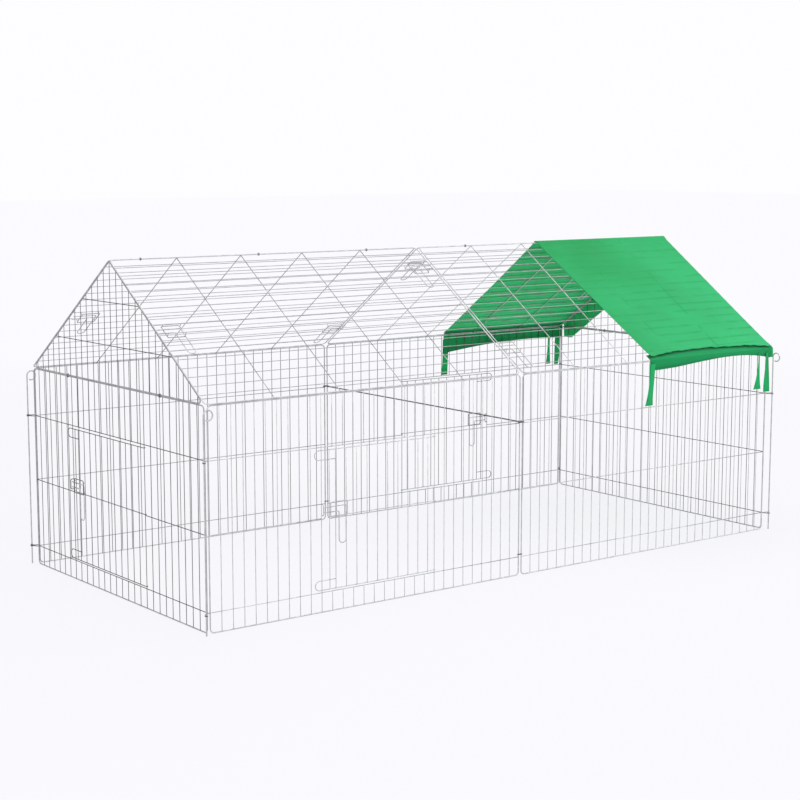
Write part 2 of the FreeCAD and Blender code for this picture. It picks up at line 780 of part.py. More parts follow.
def cloth_body(label, outline):
    """A flat piece of cloth: an outline drawn upright, as thick as the cloth."""
    body = new_body(label)
    sketch = new_sketch(body, f"{label}_outline", "XZ_Plane", ("0", "0", "0"))
    sketch.addGeometry(outline, False)
    pad = body.newObject("PartDesign::Pad", f"{label}_cloth")
    pad.Profile = sketch
    pad.setExpression("Length", "dim.cloth")
    return body


def shade_half(name, roof_place, mirrored, valance_depth):
    """One slope of the shade, with its end flap, valance and straps."""
    left = -size.shade_right if mirrored else size.shade_left
    slope_cloth = doc.addObject("Part::Box", f"shade_{name}")
    slope_cloth.setExpression("Length", "dim.shade_length")
    slope_cloth.setExpression("Width", "dim.shade_drop - dim.shade_ridge_gap")
    slope_cloth.setExpression("Height", "dim.cloth")
    spot = Vector(left, -size.shade_drop, size.cloth_lift)
    keep(slope_cloth, f"shade_{name}", roof_place * Placement(spot, Rotation()))
    wall = turned(0, 0, 180 if mirrored else 0)
    out = -size.half_width - size.valance_out
    top = size.eave_height + size.cloth
    flap(f"shade_{name}_flap", 1 if mirrored else -1, top - valance_depth)
    start = left + size.valance_inset if mirrored else left
    spot = Vector(start, out, top)
    valance(f"shade_{name}_valance", wall * Placement(spot, Rotation()), valance_depth)
    spot = Vector(left, out - size.cloth - size.seat_gap, top - size.strap_drop - size.strap_length)
    straps(f"shade_{name}_straps", wall * Placement(spot, Rotation()), mirrored)


def flap(label, side, hem):
    """The end of one slope that hangs straight down outside the right gable, no lower than the hem."""
    lift = size.cloth_lift + size.cloth
    head = FRONT_ROOF.multVec(Vector(0, -size.shade_ridge_gap, lift))
    foot = FRONT_ROOF.multVec(Vector(0, -size.shade_drop, lift))
    along = (hem + size.flap_depth - foot.z) / (head.z - foot.z)
    corners = [
        Vector(-side * head.y, head.z, 0),
        Vector(-side * foot.y, foot.z, 0),
        Vector(-side * foot.y, hem, 0),
        Vector(-side * (foot.y + (head.y - foot.y) * along), hem, 0),
        Vector(-side * head.y, head.z - size.flap_depth, 0),
    ]
    keep(cloth_body(label, closed(corners)), label, turned(size.shade_right, 0, 90))


def closed(corners):
    """Straight lines from each corner to the next and back to the first."""
    return [Part.LineSegment(corners[k - 1], corners[k]) for k in range(len(corners))]


def valance(label, place, depth):
    """The strip that hangs at the eave, with its hem arched up between the corners."""
    left_hem = Vector(0, -depth, 0)
    right_hem = Vector(size.valance_length, -depth, 0)
    middle_hem = Vector(size.valance_length / 2, size.valance_arch - depth, 0)
    left_top = Vector()
    right_top = Vector(size.valance_length, 0, 0)
    outline = [
        Part.LineSegment(left_hem, left_top),
        Part.LineSegment(left_top, right_top),
        Part.LineSegment(right_top, right_hem),
        Part.Arc(right_hem, middle_hem, left_hem),
    ]
    keep(cloth_body(label, outline), label, place)


def straps(label, place, mirrored):
    """Tie straps outside the valance, wider at the foot: one at the shade's left, two at its right."""
    half = size.strap_width / 2
    last = size.shade_length - size.strap_right_inset - half
    middles = [size.strap_left_inset + half, last - size.strap_step, last]
    if mirrored:
        middles = [size.shade_length - middle for middle in middles]
    pieces = []
    for n, middle in enumerate(middles):
        corners = [
            Vector(middle - half, 0, 0),
            Vector(middle + half, 0, 0),
            Vector(middle + size.strap_top / 2, size.strap_length, 0),
            Vector(middle - size.strap_top / 2, size.strap_length, 0),
        ]
        pieces.append(cloth_body(f"{label}_{n}", closed(corners)))
    group = doc.addObject("Part::Compound", label)
    group.Links = pieces
    keep(group, label, place)


shade_half("front", FRONT_ROOF, False, size.front_valance)
shade_half("back", BACK_ROOF, True, size.back_valance)

doc.recompute()

# Check every object, then write one file for each sub-part
for thing in doc.Objects:
    if "Invalid" in thing.State or "Error" in thing.State:
        raise RuntimeError(f"{thing.Label} failed: {thing.State}")
for thing in parts:
    if thing.Shape.isNull() or not thing.Shape.isValid():
        raise RuntimeError(f"{thing.Label} has no valid shape")

os.makedirs("parts", exist_ok=True)
for thing in parts:
    thing.Shape.exportStep(os.path.join("parts", f"{thing.Label}.step"))
    print(f"{thing.Label}: {len(thing.Shape.Solids)} solid(s), {thing.Shape.Volume:.1f} mm3")
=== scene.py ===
import math

import bmesh
import bpy
from mathutils import Matrix, Vector, noise


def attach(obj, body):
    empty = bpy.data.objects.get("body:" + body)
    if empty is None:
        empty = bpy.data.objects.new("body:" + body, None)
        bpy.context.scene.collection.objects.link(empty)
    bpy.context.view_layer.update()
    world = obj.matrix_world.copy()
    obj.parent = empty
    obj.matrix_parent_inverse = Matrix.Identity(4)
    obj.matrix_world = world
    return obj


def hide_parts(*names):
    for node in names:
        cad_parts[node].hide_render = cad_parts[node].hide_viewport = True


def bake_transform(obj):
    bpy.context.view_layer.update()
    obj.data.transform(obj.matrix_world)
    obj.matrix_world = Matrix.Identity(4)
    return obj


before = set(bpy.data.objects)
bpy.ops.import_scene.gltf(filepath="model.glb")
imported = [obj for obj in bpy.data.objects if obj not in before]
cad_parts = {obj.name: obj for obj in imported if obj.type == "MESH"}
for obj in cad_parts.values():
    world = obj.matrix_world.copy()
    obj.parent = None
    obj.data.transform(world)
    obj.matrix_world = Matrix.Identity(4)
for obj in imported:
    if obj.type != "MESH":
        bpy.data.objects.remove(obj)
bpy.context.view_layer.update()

# Sizes in millimetres, the same as the solids'
HALF_LENGTH, HALF_WIDTH, WALL_TOP = 1100.0, 515.0, 618.0
FRAME_R, RAIL_R, GRID_R, FOOT_R, RING_R = 1.75, 1.25, 1.0, 0.9, 1.0
ROD_R, TIE_R, BOLT_R = 2.0, 2.0, 1.5
LOOSE, SEAT, SINK = 0.35, 0.3, 0.25
CORNER_GAP, JOINT_GAP, FRAME_BEND = 6.0, 11.0, 12.0
SIDE_GAPS, END_GAPS = 30, 28
LOWER, MIDDLE, UPPER = 57.0, 268.0, 469.0
ROD_OUT, ROD_TOP, ROD_RING = 14.0, 609.0, 14.0
SIDE_DOOR, END_DOOR = (10, 21), (7, 19)
EAR_REACH, EAR_HEIGHT, DOOR_EDGE = 24.0, 27.0, 24.0
GUIDE_LENGTH, GUIDE_HEIGHT, GUIDE_BEND, GUIDE_FOOT, GUIDE_LEAD = 57.0, 42.0, 4.0, 6.0, 22.0
PRONG_PITCH, BOLT_TRAVEL, BOLT_BEND, HANDLE = 15.0, 25.0, 5.0, 92.0
TIP_GAP, GABLE_TIP_GAP = 2.0, 7.75
ROOF_RISE, SLOPE_GAPS, CROSS_GAPS, CROSS_INSET = 354.0, 17, 5, 1.0
GABLE_ROW, LEFT_ROW, RIGHT_ROW = 8, 2, 13
GABLE_BEND, GABLE_BARS = 8.0, (110.0, 234.0)
RAIL_LAP, KEEPER_HALF = 2.0, 15.0
DOOR_INSET, DOOR_MID_RISE, EAR_UPRIGHTS, STOP_GAP = 8.0, 4.0, 2, 1.25
CLIP_RISE, RIDGE_RINGS, GABLE_RING_GAPS = 8.0, (-1000, -600, -200, 200, 600, 1000), (6.5, 21.5)

SIDE_WIDTH = HALF_LENGTH - JOINT_GAP / 2 - CORNER_GAP
END_WIDTH = 2 * HALF_WIDTH - 2 * CORNER_GAP
FOOT, TOP = FRAME_R, WALL_TOP - FRAME_R
WELD = GRID_R + RAIL_R - SINK
EYE_R = ROD_R + LOOSE + RAIL_R
CURL_R = GRID_R + LOOSE + RAIL_R
DOOR_OUT = CURL_R + WELD
BOLT_OUT = DOOR_OUT + GRID_R + BOLT_R + LOOSE
GUIDE_OUT = BOLT_OUT + BOLT_R + RAIL_R + LOOSE
DOOR_LOW, DOOR_MID, DOOR_HIGH = LOWER + DOOR_INSET, MIDDLE + DOOR_MID_RISE, UPPER - DOOR_INSET
BOLT_Z = DOOR_MID + GUIDE_HEIGHT / 2
STOP = RAIL_R + BOLT_R + STOP_GAP
HANDLE_START = GUIDE_LEAD + BOLT_TRAVEL + STOP
HANDLE_WIDTH = GUIDE_LENGTH - BOLT_TRAVEL - 2 * STOP
RAKE_DROP = 2 * FRAME_R + SEAT
EAVE = TOP + RAKE_DROP
RIDGE = EAVE + ROOF_RISE
RIDGE_HALF = FRAME_R + LOOSE / 2
SLOPE_RUN = HALF_WIDTH - RIDGE_HALF
SLOPE = math.hypot(SLOPE_RUN, ROOF_RISE)
ANGLE = math.atan2(ROOF_RISE, SLOPE_RUN)
SLOPE_PITCH = SLOPE / SLOPE_GAPS
ROOF_WIDTH = HALF_LENGTH - JOINT_GAP / 2
CROSS_PITCH = ROOF_WIDTH / CROSS_GAPS
ROOF_BOLT_DROP = RAKE_DROP + FRAME_R + BOLT_R + LOOSE
ROOF_GUIDE_DROP = ROOF_BOLT_DROP + BOLT_R + RAIL_R + LOOSE
RING_BEND = FRAME_R + LOOSE + RING_R
TIE_BEND = FRAME_R + LOOSE + TIE_R


# Materials

COOL_GREY = (1.0, 1.01, 1.025)


def new_material(name):
    """A material, its node tree and its Principled shader."""
    material = bpy.data.materials.new(name)
    material.use_nodes = True
    tree = material.node_tree
    return material, tree, tree.nodes["Principled BSDF"]


def add(tree, kind, **inputs):
    """A node with some of its inputs set by name."""
    node = tree.nodes.new(kind)
    for key, value in inputs.items():
        node.inputs[key.replace("_", " ")].default_value = value
    return node


def ramp(tree, source, *stops):
    """A colour ramp fed by a value; each stop is a place and a colour."""
    node = tree.nodes.new("ShaderNodeValToRGB")
    elements = node.color_ramp.elements
    while len(elements) < len(stops):
        elements.new(0.5)
    for element, (place, colour) in zip(elements, stops):
        element.position = place
        element.color = (*colour, 1.0)
    tree.links.new(source, node.inputs["Fac"])
    return node


def combine(tree, operation, first, second):
    """The outcome of a sum, product or the like of two values."""
    node = tree.nodes.new("ShaderNodeMath")
    node.operation = operation
    tree.links.new(first, node.inputs[0])
    tree.links.new(second, node.inputs[1])
    return node.outputs["Value"]


def zinc(name, low, high):
    """Galvanised wire: cloudy grey metal with fine drawn streaks."""
    material, tree, shader = new_material(name)
    where = tree.nodes.new("ShaderNodeTexCoord")
    cloud = add(tree, "ShaderNodeTexNoise", Scale=45.0, Detail=4.0, Roughness=0.6)
    fine = add(tree, "ShaderNodeTexNoise", Scale=900.0, Detail=2.0, Roughness=0.5)
    tree.links.new(where.outputs["Object"], cloud.inputs["Vector"])
    tree.links.new(where.outputs["Object"], fine.inputs["Vector"])
    dark, light = [[grey * share for share in COOL_GREY] for grey in (low, high)]
    tone = ramp(tree, cloud.outputs["Fac"], (0.3, dark), (0.7, light))
    tree.links.new(tone.outputs["Color"], shader.inputs["Base Color"])
    rough = add(tree, "ShaderNodeMapRange", From_Min=0.25, From_Max=0.75, To_Min=0.26, To_Max=0.46)
    tree.links.new(fine.outputs["Fac"], rough.inputs["Value"])
    tree.links.new(rough.outputs["Result"], shader.inputs["Roughness"])
    bump = add(tree, "ShaderNodeBump", Strength=0.12, Distance=0.0002)
    tree.links.new(fine.outputs["Fac"], bump.inputs["Height"])
    tree.links.new(bump.outputs["Normal"], shader.inputs["Normal"])
    shader.inputs["Metallic"].default_value = 0.85
    return material


def cloth(name, low, high, shade):
    """Woven polyester: a fine square weave, a soft sheen and a painted shade colour mixed in where a mark
    asks for it.
    """
    material, tree, shader = new_material(name)
    where = tree.nodes.new("ShaderNodeTexCoord")
    patch = add(tree, "ShaderNodeTexNoise", Scale=7.0, Detail=5.0, Roughness=0.55)
    tree.links.new(where.outputs["Object"], patch.inputs["Vector"])
    tone = ramp(tree, patch.outputs["Fac"], (0.32, low), (0.68, high))
    # The mark mixes in the shade colour; it is painted shade for the most part, with sewn lines and hems
    # among it.
    mark = tree.nodes.new("ShaderNodeAttribute")
    mark.attribute_name = "under"
    mix = tree.nodes.new("ShaderNodeMix")
    mix.data_type = "RGBA"
    mix.inputs["B"].default_value = (*shade, 1.0)
    tree.links.new(mark.outputs["Fac"], mix.inputs["Factor"])
    tree.links.new(tone.outputs["Color"], mix.inputs["A"])
    tree.links.new(mix.outputs["Result"], shader.inputs["Base Color"])
    heights = []
    for axis in ("X", "Y"):
        thread = add(tree, "ShaderNodeTexWave", Scale=260.0, Distortion=0.6, Detail=1.0)
        thread.bands_direction = axis
        tree.links.new(where.outputs["UV"], thread.inputs["Vector"])
        heights.append(thread.outputs["Fac"])
    weave = combine(tree, "MULTIPLY", *heights)
    bump = add(tree, "ShaderNodeBump", Strength=0.35, Distance=0.0006)
    tree.links.new(weave, bump.inputs["Height"])
    tree.links.new(bump.outputs["Normal"], shader.inputs["Normal"])
    rough = add(tree, "ShaderNodeMapRange", From_Min=0.3, From_Max=0.7, To_Min=0.62, To_Max=0.8)
    tree.links.new(patch.outputs["Fac"], rough.inputs["Value"])
    tree.links.new(rough.outputs["Result"], shader.inputs["Roughness"])
    shader.inputs["Sheen Weight"].default_value = 0.03
    shader.inputs["Specular IOR Level"].default_value = 0.2
    return material


# One galvanised wire in three tones: a lit copy, and half shaded and shaded copies that paint shade onto
# whole pieces and wires.
LIT_ZINC = zinc("galvanised_wire", 0.42, 0.64)
HALF_SHADED_ZINC = zinc("half_shaded_galvanised_wire", 0.28, 0.46)
SHADED_ZINC = zinc("shaded_galvanised_wire", 0.08, 0.16)
# Each in this order: thin wires, thin wires along the run, frame wires, frame wires along the run
PLAIN_TONES = (LIT_ZINC,) * 4
ROOF_TONES = (HALF_SHADED_ZINC, HALF_SHADED_ZINC, LIT_ZINC, LIT_ZINC)
SHADED_TONES = (LIT_ZINC, HALF_SHADED_ZINC, LIT_ZINC, LIT_ZINC)
END_TONES = (SHADED_ZINC, SHADED_ZINC, HALF_SHADED_ZINC, HALF_SHADED_ZINC)
BACK_TONES = (SHADED_ZINC, HALF_SHADED_ZINC, HALF_SHADED_ZINC, LIT_ZINC)
DEEP_SHADE_TONES = (SHADED_ZINC,) * 4
# Painted light and shade by piece: the roofs' thin wires, the ends, the gables, the back, the left door and
# the small fittings get darker copies of the wire.
TONES = {f"{side}_left_roof": ROOF_TONES for side in ("front", "back")}
TONES |= {f"{side}_right_roof": SHADED_TONES for side in ("front", "back")}
TONES |= {f"{end}_end_panel": END_TONES for end in ("left", "right")}
TONES |= {f"{end}_gable": END_TONES for end in ("left", "right")}
TONES |= {"left_door": END_TONES, "back_door": BACK_TONES}
TONES |= {f"back_{end}_panel": BACK_TONES for end in ("left", "right")}
TONES |= {node: DEEP_SHADE_TONES for node in ("tie_bar", "front_joint_clip", "back_joint_clip", "ridge_rings")}
TONES |= {f"{end}_gable_rings": DEEP_SHADE_TONES for end in ("left", "right")}
# Copies of one shade cloth: the lighter underside copy is painted light through the cloth, and the darker
# flap, strap and valance copies are painted shade on the hanging pieces.
TOP_CLOTH = cloth("shade_cloth", (0.032, 0.51, 0.182), (0.042, 0.58, 0.208), (0.001, 0.235, 0.03))
LIT_UNDERSIDE_CLOTH = cloth("shade_inside", (0.03, 0.58, 0.19), (0.04, 0.65, 0.22), (0.01, 0.45, 0.12))
FLAP_CLOTH = cloth("shade_flap", (0.006, 0.39, 0.11), (0.014, 0.45, 0.135), (0.003, 0.2, 0.06))
TRIM_CLOTH = cloth("shade_trim", (0.002, 0.28, 0.08), (0.006, 0.35, 0.105), (0.001, 0.1, 0.035))


# Wires

X, Y, Z = Vector((1, 0, 0)), Vector((0, 1, 0)), Vector((0, 0, 1))
HERE = Matrix.Identity(4)
MM = 0.001
# A cut end's rounding, as shares of the wire's radius, and how nearly along the run counts as along it
LIP_LENGTH, LIP_RADIUS, ALONG_RUN = 0.25, 0.72, 0.9
# Weld spots: their radii, how deep they sit and how much they are flattened
GRID_SPOT, FRAME_SPOT, CROSS_SPOT, TIE_SPOT = 1.25, 1.95, 1.9, 2.6
SPOT_SINK, CROSS_SPOT_DROP, SPOT_FLAT = 0.1, 1.2, 0.25
# Turns of curled wires in degrees, and the steps that bends and curls are drawn in
EYE_TURN, CURL_TURN, ROD_TURN = 270, 225, -300
BEND_STEPS, ROUND_STEPS, CURL_STEPS, ROD_STEPS = 5, 8, 14, 26
WIRE_SIDES, STOUT_SIDES = 10, 12
# The share of a rod's shank before its ring's first point, and a width that keeps two bends from meeting
SHANK_SHARE, HAIR = 0.98, 0.01


def straight(a, b):
    """A path from one point to another."""
    return [Vector(a), Vector(b)]


def arc(centre, across, up, radius, first, turn, count):
    """Points on an arc in the plane of two unit directions; angles in degrees."""
    points = []
    for n in range(count + 1):
        angle = math.radians(first + turn * n / count)
        points.append(centre + across * radius * math.cos(angle) + up * radius * math.sin(angle))
    return points


def rounded(points, bends, closed, count=BEND_STEPS):
    """A path through points with an arc at each bend."""
    points = [Vector(p) for p in points]
    path = []
    for n, corner in enumerate(points):
        if bends[n] == 0 or (not closed and n in (0, len(points) - 1)):
            path.append(corner)
            continue
        before = (points[n - 1] - corner).normalized()
        after = (points[(n + 1) % len(points)] - corner).normalized()
        half = before.angle(after) / 2
        centre = corner + (before + after).normalized() * (bends[n] / math.sin(half))
        start = corner + before * (bends[n] / math.tan(half)) - centre
        end = corner + after * (bends[n] / math.tan(half)) - centre
        sweep = start.angle(end)
        for k in range(count + 1):
            share = k / count
            a = math.sin((1 - share) * sweep) / math.sin(sweep)
            b = math.sin(share * sweep) / math.sin(sweep)
            path.append(centre + start * a + end * b)
    return path


def oval(centre, along, across, reach, radius):
    """A closed oval round two wires that stand a distance apart."""
    path = []
    for side in (1, -1):
        middle = centre + along * (side * reach / 2)
        path += arc(middle, along * side, across * side, radius, -90, 180, ROUND_STEPS)
    return path


class Wires:
    """Round wires and weld spots that make up one piece."""

    def __init__(self):
        self.mesh = bmesh.new()
        self.spot = bmesh.new()
        bmesh.ops.create_icosphere(self.spot, subdivisions=1, radius=1.0)

    def run(self, path, radius, closed=False, sides=WIRE_SIDES):
        """A wire along a path, its cut ends slightly rounded."""
        count = len(path)
        rings = []
        tangent = (path[1] - path[0]).normalized()
        if closed:
            tangent = (path[1] - path[-1]).normalized()
        side = tangent.orthogonal().normalized()
        stations = [(p, 1.0) for p in path]
        if not closed:
            lip = (path[1] - path[0]).normalized() * radius * LIP_LENGTH
            stations.insert(0, (path[0], LIP_RADIUS))
            stations[1] = (path[0] + lip, 1.0)
            lip = (path[-1] - path[-2]).normalized() * radius * LIP_LENGTH
            stations[-1] = (path[-1] - lip, 1.0)
            stations.append((path[-1], LIP_RADIUS))
        for n, (point, share) in enumerate(stations):
            if closed:
                ahead = path[(n + 1) % count] - path[n - 1]
            else:
                last = len(stations) - 1
                ahead = stations[min(n + 1, last)][0] - stations[max(n - 1, 0)][0]
            turn = tangent.rotation_difference(ahead.normalized())
            side = turn @ side
            tangent = ahead.normalized()
            other = tangent.cross(side)
            ring = []
            for k in range(sides):
                angle = 2 * math.pi * k / sides
                offset = side * math.cos(angle) + other * math.sin(angle)
                ring.append(self.mesh.verts.new(point + offset * radius * share))
            rings.append(ring)
        pairs = list(zip(rings, rings[1:]))
        if closed:
            pairs.append((rings[-1], rings[0]))
        for first, second in pairs:
            ahead = (second[0].co - first[0].co).normalized()
            # The slot goes by wire size and by whether the wire lies along the run, so that its tone paints
            # light and shade by direction.
            tone = 2 * (radius >= FRAME_R) + (abs(ahead.x) > ALONG_RUN)
            shift = 0
            if closed and second is rings[0]:
                gaps = [(second[k].co - first[0].co).length for k in range(sides)]
                shift = gaps.index(min(gaps))
            for k in range(sides):
                a, b = first[k], first[(k + 1) % sides]
                c, d = second[(k + 1 + shift) % sides], second[(k + shift) % sides]
                self.mesh.faces.new((a, b, c, d)).material_index = tone
        if not closed:
            self.mesh.faces.new(reversed(rings[0]))
            self.mesh.faces.new(rings[-1])

    def weld(self, point, size=GRID_SPOT, flat=Y):
        """A small weld nugget where two wires cross."""
        verts = {}
        for vert in self.spot.verts:
            co = vert.co * size
            co -= flat * co.dot(flat) * SPOT_FLAT
            verts[vert] = self.mesh.verts.new(Vector(point) + co)
        for face in self.spot.faces:
            self.mesh.faces.new([verts[v] for v in face.verts])

    def piece(self, name, place, body, *nodes):
        """The finished object, in place, on its body, standing for its nodes."""
        data = bpy.data.meshes.new(name)
        self.mesh.transform(Matrix.Scale(MM, 4) @ place)
        bmesh.ops.recalc_face_normals(self.mesh, faces=self.mesh.faces)
        self.mesh.to_mesh(data)
        self.mesh.free()
        self.spot.free()
        data.shade_smooth()
        for tone in TONES.get(nodes[0], PLAIN_TONES):
            data.materials.append(tone)
        thing = bpy.data.objects.new(name, data)
        bpy.context.scene.collection.objects.link(thing)
        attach(thing, body)
        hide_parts(*nodes)
        return thing


def at(x, y, z=0.0, degrees=0.0):
    """A place, turned about the vertical."""
    return Matrix.Translation((x, y, z)) @ Matrix.Rotation(math.radians(degrees), 4, "Z")


FRONT_LEFT = at(-HALF_LENGTH, -HALF_WIDTH)
BACK_RIGHT = at(HALF_LENGTH, HALF_WIDTH, 0, 180)
FRONT_MIDDLE = at(0, -HALF_WIDTH)
BACK_MIDDLE = at(0, HALF_WIDTH, 0, 180)
LEFT_END = at(-HALF_LENGTH, HALF_WIDTH, 0, -90)
RIGHT_END = at(HALF_LENGTH, -HALF_WIDTH, 0, 90)
FRONT_ROOF = Matrix.Translation((0, -RIDGE_HALF, RIDGE)) @ Matrix.Rotation(ANGLE, 4, "X")
BACK_ROOF = at(0, 0, 0, 180) @ FRONT_ROOF


def frame_loop(wires, left, low, right, high, across, up, radius, bend, lift=Vector()):
    """A closed rounded rectangle of wire."""
    corners = [(left, low), (right, low), (right, high), (left, high)]
    points = [across * x + up * y + lift for x, y in corners]
    wires.run(rounded(points, [bend] * 4, True), radius, True)


def corner_eye(wires, edge, side, height):
    """A wire eye from a panel's edge round a corner rod."""
    outward = CORNER_GAP + ROD_OUT
    centre = Vector((edge + side * outward, -ROD_OUT, height))
    toward = math.degrees(math.atan2(ROD_OUT, -side * outward))
    swing = math.degrees(math.acos(EYE_R / math.hypot(outward, ROD_OUT)))
    curl = arc(centre, X, Y, EYE_R, toward - side * swing, -side * EYE_TURN, CURL_STEPS)
    wires.run([Vector((edge, 0, height))] + curl, RAIL_R)


def wall_panel(left, width, gaps, eyes, rise, doorway=None):
    """Frame wire, rails inside, upright wires, corner eyes and, at a doorway, a keeper."""
    wires = Wires()
    right = left + width
    pitch = width / gaps
    frame_loop(wires, left, FOOT, right, TOP, X, Z, FRAME_R, FRAME_BEND)
    jamb, hinge = doorway or (0, 0)
    edges = (left + jamb * pitch, left + hinge * pitch)
    for height in (LOWER, MIDDLE, UPPER):
        spans = [(left, right)]
        if doorway and height == MIDDLE:
            spans = [(left, edges[0] + RAIL_LAP), (edges[1] - RAIL_LAP, right)]
        for a, b in spans:
            wires.run(straight((a, WELD, height), (b, WELD, height)), RAIL_R)
    for side in eyes:
        for height in (LOWER, UPPER):
            corner_eye(wires, left if side < 0 else right, side, height + rise * (RAIL_R + LOOSE))
    for n in range(1, gaps):
        x = left + n * pitch
        spans = [(FOOT, TOP)]
        inside = jamb < n < hinge
        if inside:
            spans = [(FOOT, LOWER + RAIL_R), (UPPER - RAIL_R, TOP)]
        for low, high in spans:
            wires.run(straight((x, 0, low), (x, 0, high)), GRID_R)
        for height in (LOWER, MIDDLE, UPPER):
            if not (inside and height == MIDDLE):
                wires.weld((x, WELD / 2 - SPOT_SINK, height))
        for height in (FOOT, TOP):
            wires.weld((x, 0, height), FRAME_SPOT)
    if doorway:
        low, high = BOLT_Z - KEEPER_HALF, BOLT_Z + KEEPER_HALF
        points = [(0, low), (-GUIDE_OUT, low), (-GUIDE_OUT, high), (0, high)]
        points = [(edges[0], y, z) for y, z in points]
        wires.run(rounded(points, [GUIDE_BEND] * 4, False), RAIL_R)
    return wires


def guide(wires, left, middle, height, across, up, out, base, top):
    """A rectangle of wire on four feet that holds a bolt's prongs."""
    half = height / 2
    lift = out * top
    right = left + GUIDE_LENGTH
    frame_loop(wires, left, middle - half, right, middle + half, across, up, RAIL_R, GUIDE_BEND, lift)
    for x in (left, right):
        for y in (middle - half + GUIDE_FOOT, middle + half - GUIDE_FOOT):
            spot = across * x + up * y
            wires.run([spot + out * base, spot + lift], FOOT_R)


def door(width, gaps, jamb, hinge):
    """Rails that curl round the hinge wire, ears past the jamb, uprights and a bolt guide."""
    wires = Wires()
    pitch = width / gaps
    jamb_x, hinge_x = CORNER_GAP + jamb * pitch, CORNER_GAP + hinge * pitch
    tip, ear = jamb_x - EAR_REACH, EAR_HEIGHT / 2
    edge = jamb_x + DOOR_EDGE
    second = edge + GUIDE_LENGTH - pitch
    uprights = [edge] + [second + n * pitch for n in range(hinge - jamb - 1)]
    for height, up in ((DOOR_LOW, 1), (DOOR_MID, 0), (DOOR_HIGH, -1)):
        start = [Vector((edge, -CURL_R, height))]
        if up:
            centre = Vector((tip + ear, -CURL_R, height + up * ear))
            start = [Vector((second, -CURL_R, height + 2 * up * ear))]
            start += arc(centre, X, Z, ear, 90 * up, 180 * up, CURL_STEPS)
        curl = arc(Vector((hinge_x, 0, height)), X, Y, CURL_R, -90, CURL_TURN, CURL_STEPS)
        wires.run(start + curl, RAIL_R)
    for n, x in enumerate(uprights):
        wires.run(straight((x, -DOOR_OUT, DOOR_LOW), (x, -DOOR_OUT, DOOR_HIGH)), GRID_R)
        levels = [DOOR_LOW, DOOR_MID, DOOR_HIGH]
        if n < EAR_UPRIGHTS:
            levels += [DOOR_LOW + EAR_HEIGHT, DOOR_HIGH - EAR_HEIGHT]
        for height in levels:
            wires.weld((x, -DOOR_OUT + WELD / 2, height))
    guide(wires, edge, BOLT_Z, GUIDE_HEIGHT, X, Z, -Y, DOOR_OUT, GUIDE_OUT)
    return wires


def bolt():
    """One bent wire: two prongs along +X and a hanging handle."""
    wires = Wires()
    half = PRONG_PITCH / 2
    inner = -HANDLE_START
    outer = inner - HANDLE_WIDTH
    low = -half - HANDLE
    points = [(0, -half), (inner, -half), (inner, low), (outer, low), (outer, half), (0, half)]
    turn = HANDLE_WIDTH / 2 - HAIR
    bends = [0, BOLT_BEND, turn, turn, BOLT_BEND, 0]
    path = rounded([(x, y, 0) for x, y in points], bends, False, ROUND_STEPS)
    wires.run(path, BOLT_R, sides=STOUT_SIDES)
    return wires


def roof_sites(side, joint_row):
    """A roof panel's bolts: name, drawn-back tip, the way they point, row from the ridge."""
    return [
        ("gable", side * (HALF_LENGTH - FRAME_R - GABLE_TIP_GAP), side, GABLE_ROW),
        ("joint", -side * (JOINT_GAP / 2 - FRAME_R - TIP_GAP), -side, joint_row),
    ]


def roof_panel(side, joint_row):
    """Frame, wires along the slope's rows, cross wires inside, and two bolt guides."""
    wires = Wires()
    ends = sorted((side * JOINT_GAP / 2, side * HALF_LENGTH))
    frame_loop(wires, ends[0], -SLOPE, ends[1], 0, X, Y, FRAME_R, FRAME_BEND)
    crosses = [ends[0] + n * CROSS_PITCH for n in range(1, CROSS_GAPS)]
    for x in crosses:
        wires.run(straight((x, -CROSS_INSET, -WELD), (x, -SLOPE, -WELD)), RAIL_R)
        for y in (-CROSS_INSET, -SLOPE):
            wires.weld((x, y, -CROSS_SPOT_DROP), CROSS_SPOT, Z)
    for n in range(1, SLOPE_GAPS):
        y = -n * SLOPE_PITCH
        wires.run(straight((ends[0], y, 0), (ends[1], y, 0)), GRID_R)
        for x in crosses:
            wires.weld((x, y, SPOT_SINK - WELD / 2), GRID_SPOT, Z)
        for x in ends:
            wires.weld((x, y, 0), FRAME_SPOT, Z)
    for _, tip, toward, row in roof_sites(side, joint_row):
        head = tip - toward * GUIDE_LEAD
        start = head - GUIDE_LENGTH if toward > 0 else head
        middle = -(row + 0.5) * SLOPE_PITCH
        height = SLOPE_PITCH + 2 * GUIDE_FOOT
        guide(wires, start, middle, height, X, Y, -Z, 0, ROOF_GUIDE_DROP)
    return wires


def gable():
    """A welded triangle on an end panel."""
    wires = Wires()
    rise = ROOF_RISE / SLOPE_RUN
    foot = RAKE_DROP / math.cos(ANGLE) / rise
    span = 2 * HALF_WIDTH
    top = (HALF_WIDTH - foot) * rise
    points = [(foot, 0, 0), (span - foot, 0, 0), (HALF_WIDTH, 0, top)]
    wires.run(rounded(points, [GABLE_BEND] * 3, True, ROUND_STEPS), FRAME_R, True)
    pitch = span / END_GAPS
    for n in range(1, END_GAPS):
        x = n * pitch
        height = (min(x, span - x) - foot) * rise
        wires.run(straight((x, 0, 0), (x, 0, height)), GRID_R)
        wires.weld((x, 0, 0), FRAME_SPOT)
        wires.weld((x, 0, height), FRAME_SPOT)
        for level in GABLE_BARS:
            if level < height:
                wires.weld((x, WELD / 2 - SPOT_SINK, level))
    for level in GABLE_BARS:
        reach = foot + level / rise
        wires.run(straight((reach, WELD, level), (span - reach, WELD, level)), RAIL_R)
    return wires


